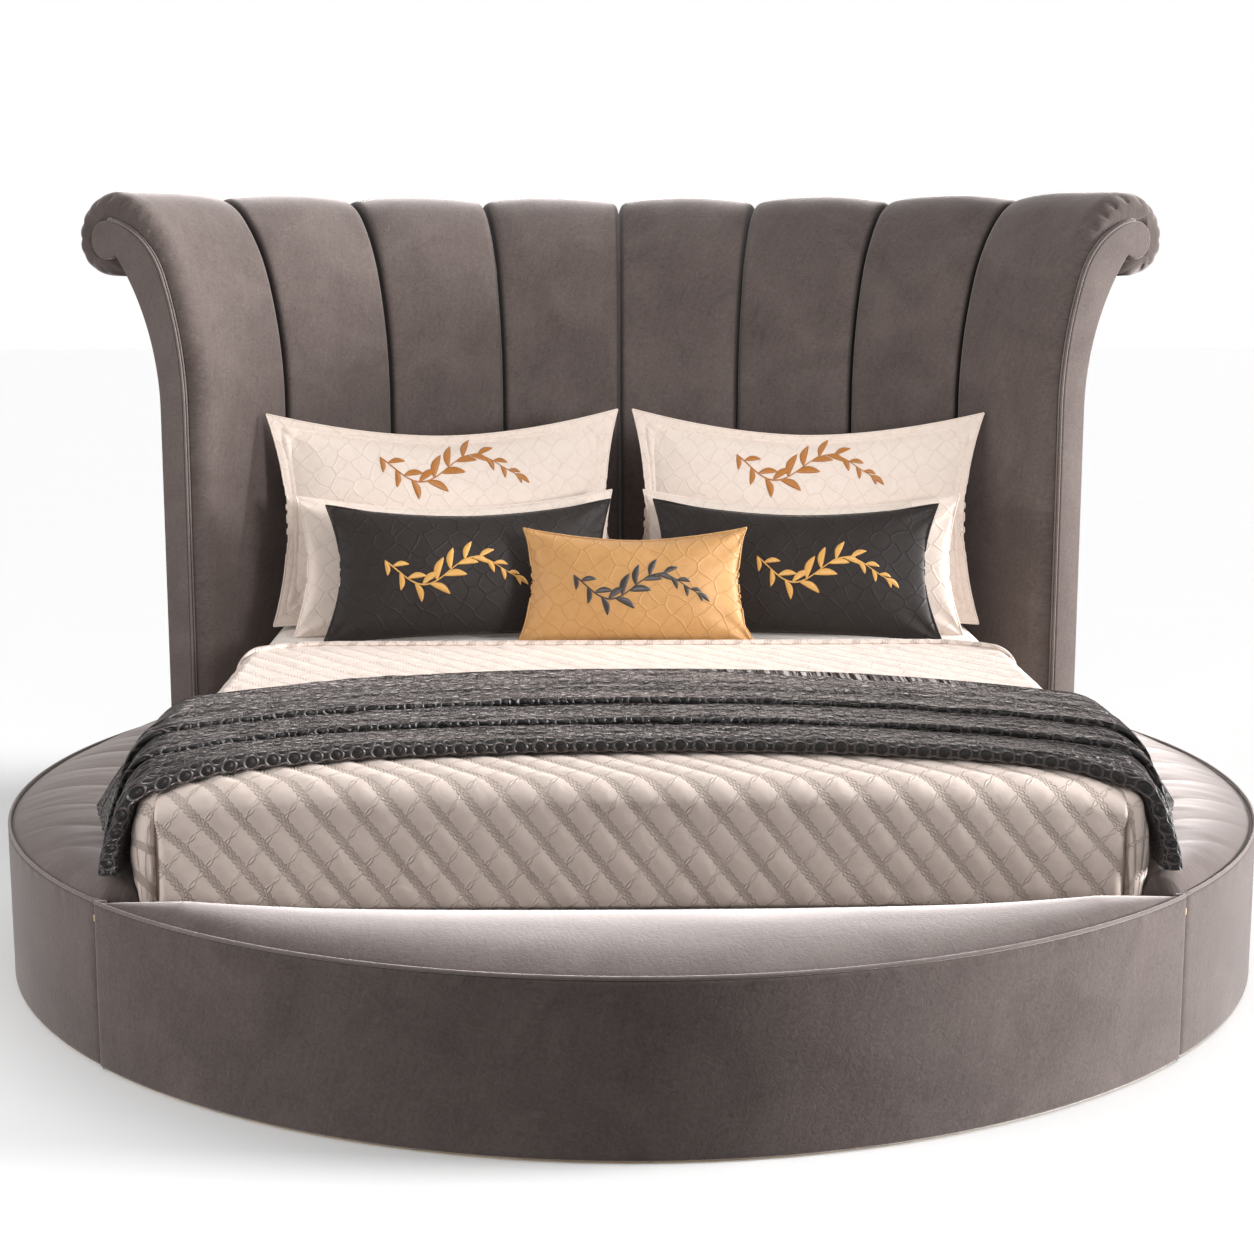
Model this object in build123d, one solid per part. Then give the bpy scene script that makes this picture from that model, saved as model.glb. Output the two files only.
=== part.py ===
from build123d import *

import os
from math import acos, asin, atan2, ceil, cos, degrees, hypot, pi, radians, sin, sqrt, tan

# Round upholstered bed with a curved, channelled headboard that rolls over into a scroll.
# Lengths are in millimetres and angles in degrees. +X is to the right, +Y to the head, +Z up.
# The origin is on the floor under the middle of the round base, on the sole of the middle leg.

# Clearances
fit_gap = 0.3
mattress_gap = 10.0
cut_overrun = 50.0

# Round base
base_radius = 1330.0
side_setback = 4.0
front_joint_share = 0.66541
joint_gap = 2.0
glide_height = 4.0
glide_radius = 14.0
glide_inset = 10.0
seam_height = 311.0
pad_crown = 44.0
welt_radius = 3.5
cover_thickness = 3.0
panel_thickness = 12.0
panel_end_gap = 16.0
top_panel_thickness = 12.0
top_panel_underside = 278.0
rail_thickness = 24.0
base_rib_thickness = 18.0
side_rib_pitch = 330.0
front_rib_pitch = 360.0
crown_limit_share = 0.45
ribs_each_way = 2
front_pad_shares = (-0.975, -0.93, -0.84, -0.6, -0.3, 0, 0.3, 0.6, 0.84, 0.93, 0.975)
side_pad_shares = (-1, -0.9, -0.7, -0.4, 0, 0.4, 0.7, 0.9, 1)
front_glide_angles = (-34.0, -17.0, 0.0, 17.0, 34.0)
side_glide_angles = (-120.0, -95.0, -70.0, -50.0, 50.0, 70.0, 95.0, 120.0)
head_glide_angles = (-30.0, 0.0, 30.0)

# Mattress and bed floor
mattress_half_share = 0.67293
mattress_bottom = 240.0
mattress_thickness = 276.0
mattress_edge_radius = 40.0
mattress_corner_radius = 60.0
sheet_thickness = 2.0
slat_thickness = 18.0
slat_width = 70.0
slat_pitch = 145.0
slat_end_gap = 6.0
ledger_width = 30.0
ledger_height = 40.0
beam_width = 60.0
beam_height = 90.0
leg_width = 50.0
foot_radius = 35.0
foot_thickness = 10.0
leg_spacing_share = 0.5714
bracket_leg = 90.0
bracket_height = 120.0
bracket_thickness = 4.0
bracket_hole_shares = (0.4, 0.8)
head_rail_gap = 6.0

# Headboard: arc seen from above, and the section of its roll
arc_centre_y = 150.0
headboard_setback = 110.0
padding_depth = 48.0
half_span = 59.7
channel_count = 8
headboard_height = 1622.0
board_depth = 74.0
ply_thickness = 8.0
headboard_rib_thickness = 18.0
cap_thickness = 14.0
cap_piping_radius = 3.0
scroll_radius = 125.0
scroll_reach = 280.0
scroll_underside_radius = 92.0
core_radius = 48.0
flare_length = 424.0
seam_depth = 15.0
end_roll_depth = 34.0
channel_bottom = 236.0
spacer_height = 120.0
spacer_bottom = 70.0
spacer_width = 90.0
bolt_radius = 4.0
bolt_head_radius = 9.0
bolt_head_height = 5.0
spacer_place_shares = (0.5, 2.5)
first_bend_share = 2.3
middle_share = 0.5
seam_shares = ((0, 1), (0.06, 0.45), (0.2, 0.12), (0.5, 0), (0.8, 0.12), (0.94, 0.45), (1, 1))
board_names = ("left", "middle", "right")

back_bend_radius = 640.0
headboard_foot = 4.0
rib_top_drop = 2.0

# Headings of the roll's section where one arc meets the next, clockwise from straight up
first_turn = 20.0
crest_second_turn = 45.0
crest_last_turn = 75.0
board_second_turn = 50.0
board_last_turn = 80.0

# Bedding
coverlet_thickness = 14.0
coverlet_edge_radius = 46.0
coverlet_flare = 14.0
coverlet_head_share = 0.3895
coverlet_head_corner = 190.0
pleat_width = 5.0
pleat_depth = 9.0
pleat_inset = 24.0
throw_thickness = 28.0
throw_fold_step = 11.0
throw_front_overhang = 60.0
throw_back_overhang = 200.0
throw_back_y = -100.0
throw_front_y = -686.0
throw_front_sweep = 190.0
throw_back_sweep = 290.0
throw_fold_back_steps = (0.0, 130.0, 262.0)

# Cushions: width, height and thickness, and how the rows lean and turn
sham_size = (920.0, 548.0, 128.0)
plain_size = (848.0, 362.0, 112.0)
dark_size = (754.0, 345.0, 110.0)
gold_size = (588.0, 292.0, 108.0)
cushion_lean = 14.0
row_yaw = 10.0
row_gap = 4.0
centre_gap = 9.0
side_draw = 24.0
edge_draw = 22.0
crown_heading_shares = (-0.9, -0.78, -0.62, -0.44, -0.22, 0, 0.22, 0.44, 0.62, 0.78, 0.9)
crown_inset_share = 0.44
sham_flange = 25.0
flange_thickness = 5.0


# Places that follow from the sizes above

full_turn = 360
front_joint_y = base_radius * front_joint_share
mattress_half_width = base_radius * mattress_half_share
leg_spacing = base_radius * leg_spacing_share
crest_radius = base_radius - headboard_setback
board_front_radius = crest_radius + padding_depth
bed_floor = mattress_bottom - fit_gap
mattress_top = mattress_bottom + mattress_thickness
sheet_top = mattress_top + fit_gap + sheet_thickness
coverlet_top = sheet_top + fit_gap + coverlet_thickness
side_rail_x = mattress_half_width + mattress_gap
coverlet_foot_half_width = side_rail_x + coverlet_flare
coverlet_head_y = base_radius * coverlet_head_share
mattress_front = front_joint_y - mattress_gap
coverlet_hem_height = seam_height + pad_crown + fit_gap
mattress_head_radius = crest_radius - mattress_gap - sheet_thickness
head_rail_outer = crest_radius - head_rail_gap
head_rail_inner = head_rail_outer - rail_thickness
ledger_bottom = bed_floor - slat_thickness - ledger_height
mid_bed_radius = crest_radius / 2
side_radius = base_radius - side_setback
top_panel_top = top_panel_underside + top_panel_thickness
board_back_radius = board_front_radius + board_depth
scroll_centre = (crest_radius + scroll_reach, headboard_height - scroll_radius)
flare_start = scroll_centre[1] - flare_length
scroll_bottom = scroll_centre[1] - scroll_underside_radius
cap_angle = degrees(cap_thickness / board_front_radius)
arc_axis = Axis((0, arc_centre_y, 0), (0, 0, 1))


def polar(radius, angle, height=0.0):
    """Point at a radius from the headboard's arc centre, its angle clockwise from the head."""
    return Vector(radius * sin(radians(angle)), arc_centre_y + radius * cos(radians(angle)), height)


def circle_y(radius, x):
    """How far forward a circle round the origin lies at a given x."""
    return sqrt(radius ** 2 - x ** 2)


def radial_plane(angle):
    """Upright plane through the arc centre. Its x runs outwards and its y runs up."""
    a = radians(angle)
    return Plane(origin=(0, arc_centre_y, 0), x_dir=(sin(a), cos(a), 0), z_dir=(cos(a), -sin(a), 0))


def block(x0, x1, y0, y1, z0, z1):
    """Box between two corners."""
    size = Solid.make_box(x1 - x0, y1 - y0, z1 - z0)
    return size.moved(Location((x0, y0, z0)))


def prism(face, z0, z1):
    """Flat face drawn at height zero, raised into a plate."""
    return Solid.extrude(face, Vector(0, 0, z1 - z0)).moved(Location((0, 0, z0)))


def ring_sector(inner, outer, angle0, angle1, z0, z1):
    """Part of a ring about the headboard's arc centre."""
    middle = (angle0 + angle1) / 2
    edges = [
        ThreePointArc(polar(inner, angle0), polar(inner, middle), polar(inner, angle1)),
        Line(polar(inner, angle1), polar(outer, angle1)),
        ThreePointArc(polar(outer, angle1), polar(outer, middle), polar(outer, angle0)),
        Line(polar(outer, angle0), polar(inner, angle0)),
    ]
    return prism(make_face(edges).face(), z0, z1)


def disc_plate(radius, z0, z1):
    """Round plate about the origin."""
    return Solid.make_cylinder(radius, z1 - z0).moved(Location((0, 0, z0)))


def solids_of(shape):
    """All solids of a boolean result, largest first."""
    return sorted(shape.solids(), key=lambda s: -s.volume)


def save(name, *solids):
    """Write one piece, or one group of like pieces, as a STEP file."""
    os.makedirs("parts", exist_ok=True)
    flat = [s for shape in solids for s in shape.solids()]
    shape = flat[0] if len(flat) == 1 else Compound(children=flat)
    export_step(shape, os.path.join("parts", name + ".step"))


# Section of the headboard's roll, drawn with the radius across and the height up

def turn(start, heading, new_heading, radius):
    """Arc that bends right from one heading to the next, both clockwise from straight up."""
    a = radians(heading)
    return JernArc(start, (sin(a), cos(a)), radius, heading - new_heading)


def on_circle(centre, radius, heading):
    """Point of a circle where a curve that follows it has this heading."""
    a = radians(heading)
    return Vector(centre[0] - radius * cos(a), centre[1] + radius * sin(a))


def flare_radii(start, end, headings):
    """Radii of two tangent arcs that join two points and take up three headings."""
    c = [cos(radians(h)) for h in headings]
    s = [sin(radians(h)) for h in headings]
    across, up = end.X - start.X, end.Y - start.Y
    det = (c[0] - c[1]) * (s[2] - s[1]) - (c[1] - c[2]) * (s[1] - s[0])
    first = across * (s[2] - s[1]) - up * (c[1] - c[2])
    second = up * (c[0] - c[1]) - across * (s[1] - s[0])
    return first / det, second / det


def front_curve(radius, headings, end_radius, inset):
    """Foot line and three bends up to the scroll, moved by an inset towards the bends' centres."""
    first_radius = flare_length * first_bend_share
    start = turn((radius, flare_start), 0, headings[0], first_radius) @ 1
    end = on_circle(scroll_centre, end_radius, headings[2])
    second_radius, third_radius = flare_radii(start, end, headings)
    rise = Line((radius + inset, headboard_foot), (radius + inset, flare_start))
    one = turn(rise @ 1, 0, headings[0], first_radius - inset)
    two = turn(one @ 1, headings[0], headings[1], second_radius - inset)
    three = turn(two @ 1, headings[1], headings[2], third_radius - inset)
    return [rise, one, two, three]


def crest_curve(inset):
    """Front of the padding."""
    headings = (first_turn, crest_second_turn, crest_last_turn)
    return front_curve(crest_radius, headings, scroll_radius, inset)


def board_curve(inset):
    """Front of the boards behind the padding."""
    headings = (first_turn, board_second_turn, board_last_turn)
    return front_curve(board_front_radius, headings, core_radius, inset)


def back_centre():
    """Centre of the bend in the back of the headboard."""
    return board_back_radius + back_bend_radius, flare_start


def back_curve(offset, top_heading):
    """Back of the boards up to a heading, moved by an offset away from the bed."""
    radius = board_back_radius + offset
    rise = Line((radius, headboard_foot), (radius, flare_start))
    return [rise, turn(rise @ 1, 0, top_heading, back_bend_radius - offset)]


def notch_heading(offset):
    """Heading of the back's bend where it meets the scroll core, both grown by the offset."""
    centre = back_centre()
    across, up = centre[0] - scroll_centre[0], scroll_centre[1] - centre[1]
    bend, reach, distance = back_bend_radius - offset, core_radius + offset, hypot(across, up)
    between = acos((distance ** 2 + bend ** 2 - reach ** 2) / (2 * distance * bend))
    return degrees(atan2(up, across) - between)


def core_arcs(radius, notch):
    """Two arcs round the scroll core, from the front boards over the top and back to the notch."""
    first = turn(on_circle(scroll_centre, radius, board_last_turn), board_last_turn, 180, radius)
    away = notch - Vector(*scroll_centre)
    last = degrees(atan2(away.Y, -away.X)) + full_turn
    return [first, turn(first @ 1, 180, last, radius)]


def split_heading(offset):
    """Heading of the back's bend across from the end of the front boards."""
    end, a, centre = board_curve(0)[2] @ 1, radians(board_second_turn), back_centre()
    v = Vector(end.X - centre[0], end.Y - centre[1])
    n = Vector(cos(a), -sin(a))
    along = v.dot(n)
    reach = -along - sqrt(along ** 2 - v.dot(v) + (back_bend_radius - offset) ** 2)
    hit = v + n * reach
    return degrees(atan2(hit.Y, -hit.X))


def closed(edges, *links):
    """Face inside a chain of edges, with straight lines added between the given points."""
    return make_face(edges + [Line(a, b) for a, b in links]).face()


def revolved(face, angle0, angle1):
    """Sector of a turned piece of the headboard, between two angles."""
    placed = radial_plane(angle1) * face
    return revolve(placed, axis=arc_axis, revolution_arc=angle1 - angle0).solid()


def foot_of(curve, height):
    """The foot line of a curve, started at another height."""
    top = curve[0] @ 1
    return Line((top.X, height), top)


def pad_section(inset):
    """Closed wire round the padding: front, over the scroll, back under it and down the boards."""
    crest = crest_curve(inset)
    board = board_curve(-fit_gap)
    over = turn(crest[3] @ 1, crest_last_turn, 180, scroll_radius - inset)
    under = turn(over @ 1, 180, 270, scroll_underside_radius - inset)
    lip = (under @ 1).Y
    bend = back_bend_radius - fit_gap
    lip_heading = degrees(asin((lip - flare_start) / bend))
    notch = notch_heading(fit_gap)
    behind = turn(on_circle(back_centre(), bend, lip_heading), lip_heading, notch, bend)
    core = core_arcs(core_radius + fit_gap, behind @ 1)
    front_foot, back_foot = foot_of(crest, channel_bottom), foot_of(board, channel_bottom)
    edges = [front_foot] + crest[1:] + [over, under, Line(under @ 1, behind @ 0), behind]
    edges += core[::-1] + board[:0:-1] + [back_foot, Line(back_foot @ 0, front_foot @ 0)]
    return Wire(edges)


def channel(index):
    """One padded channel: a loft through radial sections that sink into the seams at its sides."""
    step = 2 * half_span / channel_count
    slack = degrees(fit_gap / crest_radius) / 2
    start = -half_span + index * step + slack
    width = step - 2 * slack
    low_side = end_roll_depth if index == 0 else seam_depth
    high_side = end_roll_depth if index == channel_count - 1 else seam_depth
    wires = []
    for place_share, depth_share in seam_shares:
        depth = low_side if place_share < middle_share else high_side
        wire = pad_section(depth * depth_share)
        wires.append(radial_plane(start + width * place_share) * wire)
    return Solid.make_loft(wires)


def headboard_boards():
    """Bent front boards, bent back boards, ribs between them and the scroll core."""
    split = board_curve(0)[2] @ 1
    front, inner = board_curve(0)[:3], board_curve(ply_thickness)[:3]
    front_face = closed(front + inner, (front[0] @ 0, inner[0] @ 0), (front[2] @ 1, inner[2] @ 1))
    back = back_curve(0, split_heading(0))
    lining = back_curve(-ply_thickness, split_heading(-ply_thickness))
    back_face = closed(back + lining, (back[0] @ 0, lining[0] @ 0), (back[1] @ 1, lining[1] @ 1))
    gap = ply_thickness + fit_gap
    a, b = board_curve(gap)[:3], back_curve(-gap, split_heading(-gap) - rib_top_drop)
    rib_face = closed(a + b, (a[0] @ 0, b[0] @ 0), (a[2] @ 1, b[1] @ 1))
    notch = on_circle(back_centre(), back_bend_radius, notch_heading(0))
    neck = turn(back[1] @ 1, split_heading(0), notch_heading(0), back_bend_radius)
    core_face = closed([board_curve(0)[3]] + core_arcs(core_radius, notch) + [neck], (neck @ 0, split))
    third = 2 * half_span / len(board_names)
    holes = [headboard_bolt_hole(angle) for angle in spacer_angles()]
    fronts = []
    for k, name in enumerate(board_names):
        ends = (-half_span + k * third, -half_span + (k + 1) * third)
        board = revolved(front_face, *ends)
        for hole in holes:
            board = board - hole
        fronts.append(board)
        save("headboard_back_board_" + name, revolved(back_face, *ends))
    save("headboard_front_boards", *fronts)
    save("headboard_scroll_core", revolved(core_face, -half_span, half_span))
    ribs = []
    half = headboard_rib_thickness / 2
    edge = degrees(half / board_front_radius)
    for k in range(channel_count + 1):
        angle = -half_span + k * 2 * half_span / channel_count
        angle = max(-half_span + edge, min(half_span - edge, angle))
        plate = radial_plane(angle) * rib_face
        ribs.append(Solid.extrude(plate, plate.normal_at() * headboard_rib_thickness).moved(
            Location(plate.normal_at() * -half)))
    save("headboard_ribs", *ribs)


def headboard_back_cover():
    """Velvet over the back boards, from the floor to the underside of the scroll."""
    bend = back_bend_radius - fit_gap
    top = degrees(asin((scroll_bottom - fit_gap - flare_start) / bend))
    inner, outer = back_curve(fit_gap, top), back_curve(fit_gap + cover_thickness, top)
    face = closed(inner + outer, (inner[0] @ 0, outer[0] @ 0), (inner[1] @ 1, outer[1] @ 1))
    save("headboard_back_cover", revolved(face, -half_span, half_span))


def headboard_caps():
    """Flat end caps on the wings, and the piping along their front edges."""
    notch = on_circle(back_centre(), back_bend_radius, notch_heading(0))
    front, back = board_curve(0), back_curve(0, notch_heading(0))
    face = closed(front + core_arcs(core_radius, notch) + back, (front[0] @ 0, back[0] @ 0))
    pipe_edges = board_curve(-cap_piping_radius - fit_gap)
    pipe_start = foot_of(pipe_edges, channel_bottom)
    path = Wire([pipe_start] + pipe_edges[1:])
    for side, name in ((-1, "left"), (1, "right")):
        plate = radial_plane(side * half_span) * face
        outward = Vector(cos(radians(half_span)), -sin(radians(half_span)))
        outward = Vector(side * outward.X, outward.Y)
        save("headboard_cap_" + name, Solid.extrude(plate, outward * cap_thickness).moved(
            Location(outward * fit_gap)))
        route = (radial_plane(side * half_span) * path).moved(
            Location(outward * (fit_gap + cap_thickness - cap_piping_radius)))
        start = Plane(origin=route @ 0, z_dir=route % 0)
        save("headboard_piping_" + name, sweep(start * Circle(cap_piping_radius), path=route).solid())


def spacer_angles():
    """Angles of the blocks between the head rail and the headboard, each behind a channel."""
    step = 2 * half_span / channel_count
    return [side * step * place for side in (-1, 1) for place in spacer_place_shares]


def radial_cylinder(radius, angle, from_radius, to_radius):
    """Round bar pointing out from the arc centre, at the spacer blocks' height."""
    height = spacer_bottom + spacer_height / 2
    out = Vector(sin(radians(angle)), cos(radians(angle)))
    return Solid.make_cylinder(radius, to_radius - from_radius, Plane(
        origin=polar(from_radius, angle, height), z_dir=out))


def headboard_bolt_hole(angle):
    """Hole for one coach bolt, through everything it clamps."""
    return radial_cylinder(bolt_radius + fit_gap, angle, mid_bed_radius, board_front_radius + cut_overrun)


def headboard_fixings():
    """Head rail, spacer blocks and the coach bolts that hold the headboard to the base."""
    reach = degrees(asin((side_rail_x - fit_gap) / head_rail_outer))
    rail = ring_sector(head_rail_inner, head_rail_outer, -reach, reach, glide_height, bed_floor)
    half = degrees(spacer_width / 2 / board_front_radius)
    spacers, bolts = [], []
    for angle in spacer_angles():
        hole = headboard_bolt_hole(angle)
        rail = rail - hole
        spacer = ring_sector(head_rail_outer, board_front_radius - fit_gap, angle - half, angle + half,
                             spacer_bottom, spacer_bottom + spacer_height)
        spacers.append(spacer - hole)
        nut_face = board_front_radius + ply_thickness
        bolt = radial_cylinder(bolt_radius, angle, head_rail_inner - fit_gap, nut_face + bolt_head_height)
        seat = head_rail_inner - fit_gap
        head = radial_cylinder(bolt_head_radius, angle, seat - bolt_head_height, seat)
        nut = radial_cylinder(bolt_head_radius, angle, nut_face, nut_face + bolt_head_height)
        bolts.append(bolt + head + nut)
    save("head_rail", rail)
    save("headboard_spacers", *spacers)
    save("headboard_bolts", *bolts)
    ledger = ring_sector(head_rail_inner - ledger_width, head_rail_inner - fit_gap, -ledger_reach(),
                         ledger_reach(), ledger_bottom, ledger_bottom + ledger_height)
    return ledger


# Round base

def base_region(side):
    """Space that a segment of the base may take: the front one, or the one on a side."""
    far = base_radius + cut_overrun
    if side == 0:
        return block(-far, far, -far, -front_joint_y, -cut_overrun, far)
    low, high = sorted((side * side_rail_x, side * far))
    room = block(low, high, -front_joint_y + joint_gap, far, -cut_overrun, far)
    reach = half_span + cap_angle + degrees(joint_gap / board_front_radius)
    return room - ring_sector(crest_radius - fit_gap, base_radius + cut_overrun, -reach, reach, -cut_overrun, far)


def in_region(shape, side):
    """Largest part of a shape that lies in a segment's space."""
    return solids_of(shape & base_region(side))[0]


def segment_radius(side):
    """Outer radius of a segment; the front one stands slightly proud."""
    return base_radius if side == 0 else base_radius - side_setback


def segment_skin(side):
    """Bent outer panel, velvet wall cover and welt of one segment."""
    radius = segment_radius(side)
    panel_outer = radius - cover_thickness - fit_gap
    wall = disc_plate(panel_outer, glide_height, top_panel_underside)
    panel = wall - disc_plate(panel_outer - panel_thickness, glide_height, top_panel_underside)
    sleeve = disc_plate(radius, glide_height, seam_height)
    cover = sleeve - disc_plate(radius - cover_thickness, glide_height, seam_height)
    welt_height = seam_height + fit_gap + welt_radius
    welt = Solid.make_torus(radius - welt_radius, welt_radius).moved(Location((0, 0, welt_height)))
    far = base_radius + cut_overrun
    ends = -front_joint_y + joint_gap / 2
    joint = block(-far, far, ends - panel_end_gap, ends + panel_end_gap, 0, far)
    return in_region(panel - joint, side), in_region(cover, side), in_region(welt, side)


def pad_edge(side):
    """Outer radius of a segment's pad, just inside its welt."""
    return segment_radius(side) - 2 * welt_radius - fit_gap


def pad_slice(inner, outer):
    """Cross-section of a crowned pad between its two edges, drawn in a flat plane."""
    crown = min(pad_crown, abs(outer - inner) * crown_limit_share)
    bottom = top_panel_top + fit_gap
    arc = ThreePointArc((outer, seam_height), ((outer + inner) / 2, seam_height + crown), (inner, seam_height))
    edges = [Line((inner, bottom), (outer, bottom)), Line((outer, bottom), (outer, seam_height))]
    return Wire(edges + [arc, Line((inner, seam_height), (inner, bottom))])


def front_pad():
    """Crowned pad on the front segment, which narrows to a tip at each joint."""
    half = circle_y(pad_edge(0), front_joint_y)
    wires = []
    for share in front_pad_shares:
        x = half * share
        across = Plane(origin=(x, 0, 0), x_dir=(0, -1, 0), z_dir=(-1, 0, 0))
        wires.append(across * pad_slice(front_joint_y, circle_y(pad_edge(0), x)))
    return Solid.make_loft(wires)


def side_pad(side):
    """Crowned pad on a side segment, cut off by the wing of the headboard."""
    wires = []
    for share in side_pad_shares:
        y = (front_joint_y - joint_gap) * share
        along = Plane(origin=(0, y, 0), x_dir=(side, 0, 0), z_dir=(0, -side, 0))
        wires.append(along * pad_slice(side_rail_x, circle_y(pad_edge(side), y)))
    return in_region(Solid.make_loft(wires), side)


def segment_board(side):
    """Top panel that carries a segment's pad."""
    outer = segment_radius(side) - cover_thickness - fit_gap
    return in_region(disc_plate(outer, top_panel_underside, top_panel_top), side)


def segment_rail(side):
    """Straight inner rail of a segment, beside the mattress."""
    top = top_panel_underside
    if side == 0:
        half = circle_y(panel_inner(0), front_joint_y + rail_thickness) - fit_gap
        rail = block(-half, half, -front_joint_y - rail_thickness, -front_joint_y, glide_height, top)
    else:
        low, high = sorted((side * side_rail_x, side * (side_rail_x + rail_thickness)))
        rail = in_region(block(low, high, -base_radius, base_radius, glide_height, top), side)
    for hole in corner_bolts(bolt_radius + fit_gap, 0):
        rail = rail - hole
    return rail.solid()


def panel_inner(side):
    """Radius of the inner face of a segment's bent panel."""
    return segment_radius(side) - cover_thickness - fit_gap - panel_thickness


def base_ribs():
    """Upright ribs between the inner rails and the bent panels."""
    half = base_rib_thickness / 2
    top = top_panel_underside - fit_gap
    ribs = []
    for k in range(-ribs_each_way, ribs_each_way + 1):
        y = k * side_rib_pitch
        outer = circle_y(panel_inner(1), abs(y) + half) - fit_gap
        for side in (-1, 1):
            low, high = sorted((side * (side_rail_x + rail_thickness + fit_gap), side * outer))
            ribs.append(block(low, high, y - half, y + half, glide_height, top))
    for k in range(-ribs_each_way, ribs_each_way + 1):
        x = k * front_rib_pitch
        outer = circle_y(panel_inner(0), abs(x) + half) - fit_gap
        inner = front_joint_y + rail_thickness + fit_gap
        ribs.append(block(x - half, x + half, -outer, -inner, glide_height, top))
    return ribs


def round_base():
    """All three segments of the base."""
    for side, name in ((0, "front"), (-1, "left"), (1, "right")):
        panel, cover, welt = segment_skin(side)
        save(name + "_outer_panel", panel)
        save(name + "_wall_cover", cover)
        save(name + "_welt", welt)
        save(name + "_top_panel", segment_board(side))
        save(name + "_inner_rail", segment_rail(side))
        save(name + "_pad", front_pad() if side == 0 else side_pad(side))
    save("base_ribs", *base_ribs())
    glides = []
    for radius, angles in ((panel_inner(0), front_glide_angles), (panel_inner(1), side_glide_angles)):
        for angle in angles:
            x, y = (radius - glide_inset) * sin(radians(angle)), (glide_inset - radius) * cos(radians(angle))
            glides.append(Solid.make_cylinder(glide_radius, glide_height).moved(Location((x, y, 0))))
    for angle in head_glide_angles:
        place = polar((head_rail_inner + head_rail_outer) / 2, angle)
        glides.append(Solid.make_cylinder(glide_radius, glide_height).moved(Location(place)))
    save("floor_glides", *glides)


# Bed floor

def corner_bolts(radius, head_radius):
    """Shanks, or holes, of the bolts through the corner brackets, with a head where one is given."""
    length = rail_thickness + bracket_thickness
    height = top_panel_underside / 2
    made = []
    for side in (-1, 1):
        for reach in (bracket_leg * share for share in bracket_hole_shares):
            spots = (
                (Vector(side * (side_rail_x - reach), -front_joint_y + bracket_thickness, height), Vector(0, -1)),
                (Vector(side * (side_rail_x - bracket_thickness), -front_joint_y + reach, height),
                 Vector(side, 0)),
            )
            for start, way in spots:
                bolt = Solid.make_cylinder(radius, length, Plane(origin=start, z_dir=way))
                if head_radius:
                    cap = Plane(origin=start, z_dir=way * -1)
                    bolt = bolt + Solid.make_cylinder(head_radius, bolt_head_height, cap)
                made.append(bolt)
    return made


def corner_fixings():
    """Steel angles that join the front rail to the side rails, and their bolts."""
    low = (top_panel_underside - bracket_height) / 2
    high = low + bracket_height
    brackets = []
    for side in (-1, 1):
        inner = side_rail_x - fit_gap
        y = -front_joint_y + fit_gap
        leg_a = sorted((side * inner, side * (inner - bracket_leg)))
        leg_b = sorted((side * inner, side * (inner + fit_gap - bracket_thickness)))
        plate = block(*leg_a, y, y - fit_gap + bracket_thickness, low, high)
        angle = plate + block(*leg_b, y, y + bracket_leg, low, high)
        for hole in corner_bolts(bolt_radius + fit_gap, 0):
            angle = angle - hole
        brackets.append(angle.solid())
    save("corner_brackets", *brackets)
    save("corner_bolts", *corner_bolts(bolt_radius, bolt_head_radius))


def ledger_reach():
    """Angle at which the curved ledger meets the straight ones."""
    return degrees(asin((side_rail_x - ledger_width - 2 * fit_gap) / head_rail_inner))


def platform_half_width(y):
    """How wide the bed floor is at a given place along the bed."""
    straight = side_rail_x - slat_end_gap
    beyond = y - arc_centre_y
    radius = head_rail_inner - slat_end_gap
    return straight if beyond <= 0 else min(straight, sqrt(max(radius ** 2 - beyond ** 2, 0)))


def bed_support(head_ledger):
    """Ledgers, slats, centre beam and its legs."""
    top = bed_floor - slat_thickness
    ledgers = [head_ledger]
    for side in (-1, 1):
        low, high = sorted((side * (side_rail_x - fit_gap), side * (side_rail_x - ledger_width)))
        end = arc_centre_y + head_rail_inner * cos(radians(ledger_reach())) - ledger_width
        ledgers.append(block(low, high, -front_joint_y + bracket_leg + joint_gap, end, ledger_bottom, top))
    save("slat_ledgers", *ledgers)
    slats = []
    first = -front_joint_y + bracket_leg
    last = arc_centre_y + head_rail_inner - slat_pitch
    for k in range(ceil((last - first) / slat_pitch)):
        y = first + k * slat_pitch
        half = platform_half_width(y + slat_width / 2)
        slats.append(block(-half, half, y - slat_width / 2, y + slat_width / 2, top, bed_floor))
    save("slats", *slats)
    beam_bottom = top - beam_height
    half = beam_width / 2
    end = arc_centre_y + sqrt((head_rail_inner - ledger_width) ** 2 - half ** 2) - fit_gap
    save("centre_beam", block(-half, half, -front_joint_y + fit_gap, end, beam_bottom, top - fit_gap))
    legs, feet = [], []
    side = leg_width / 2
    for k in (-1, 0, 1):
        y = k * leg_spacing
        legs.append(block(-side, side, y - side, y + side, foot_thickness, beam_bottom))
        feet.append(Solid.make_cylinder(foot_radius, foot_thickness).moved(Location((0, y, 0))))
    save("centre_legs", *legs)
    save("leg_feet", *feet)


# Bedding

def bed_outline(offset):
    """Outline of the mattress from above, grown by an offset. Its head follows the headboard."""
    x, front = mattress_half_width + offset, -mattress_front - offset
    radius = mattress_head_radius + offset
    head = arc_centre_y + sqrt(radius ** 2 - x ** 2)
    edges = [Line((-x, front), (x, front)), Line((x, front), (x, head)), Line((-x, head), (-x, front))]
    return make_face(edges + [ThreePointArc((x, head), (0, arc_centre_y + radius), (-x, head))]).face()


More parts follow.
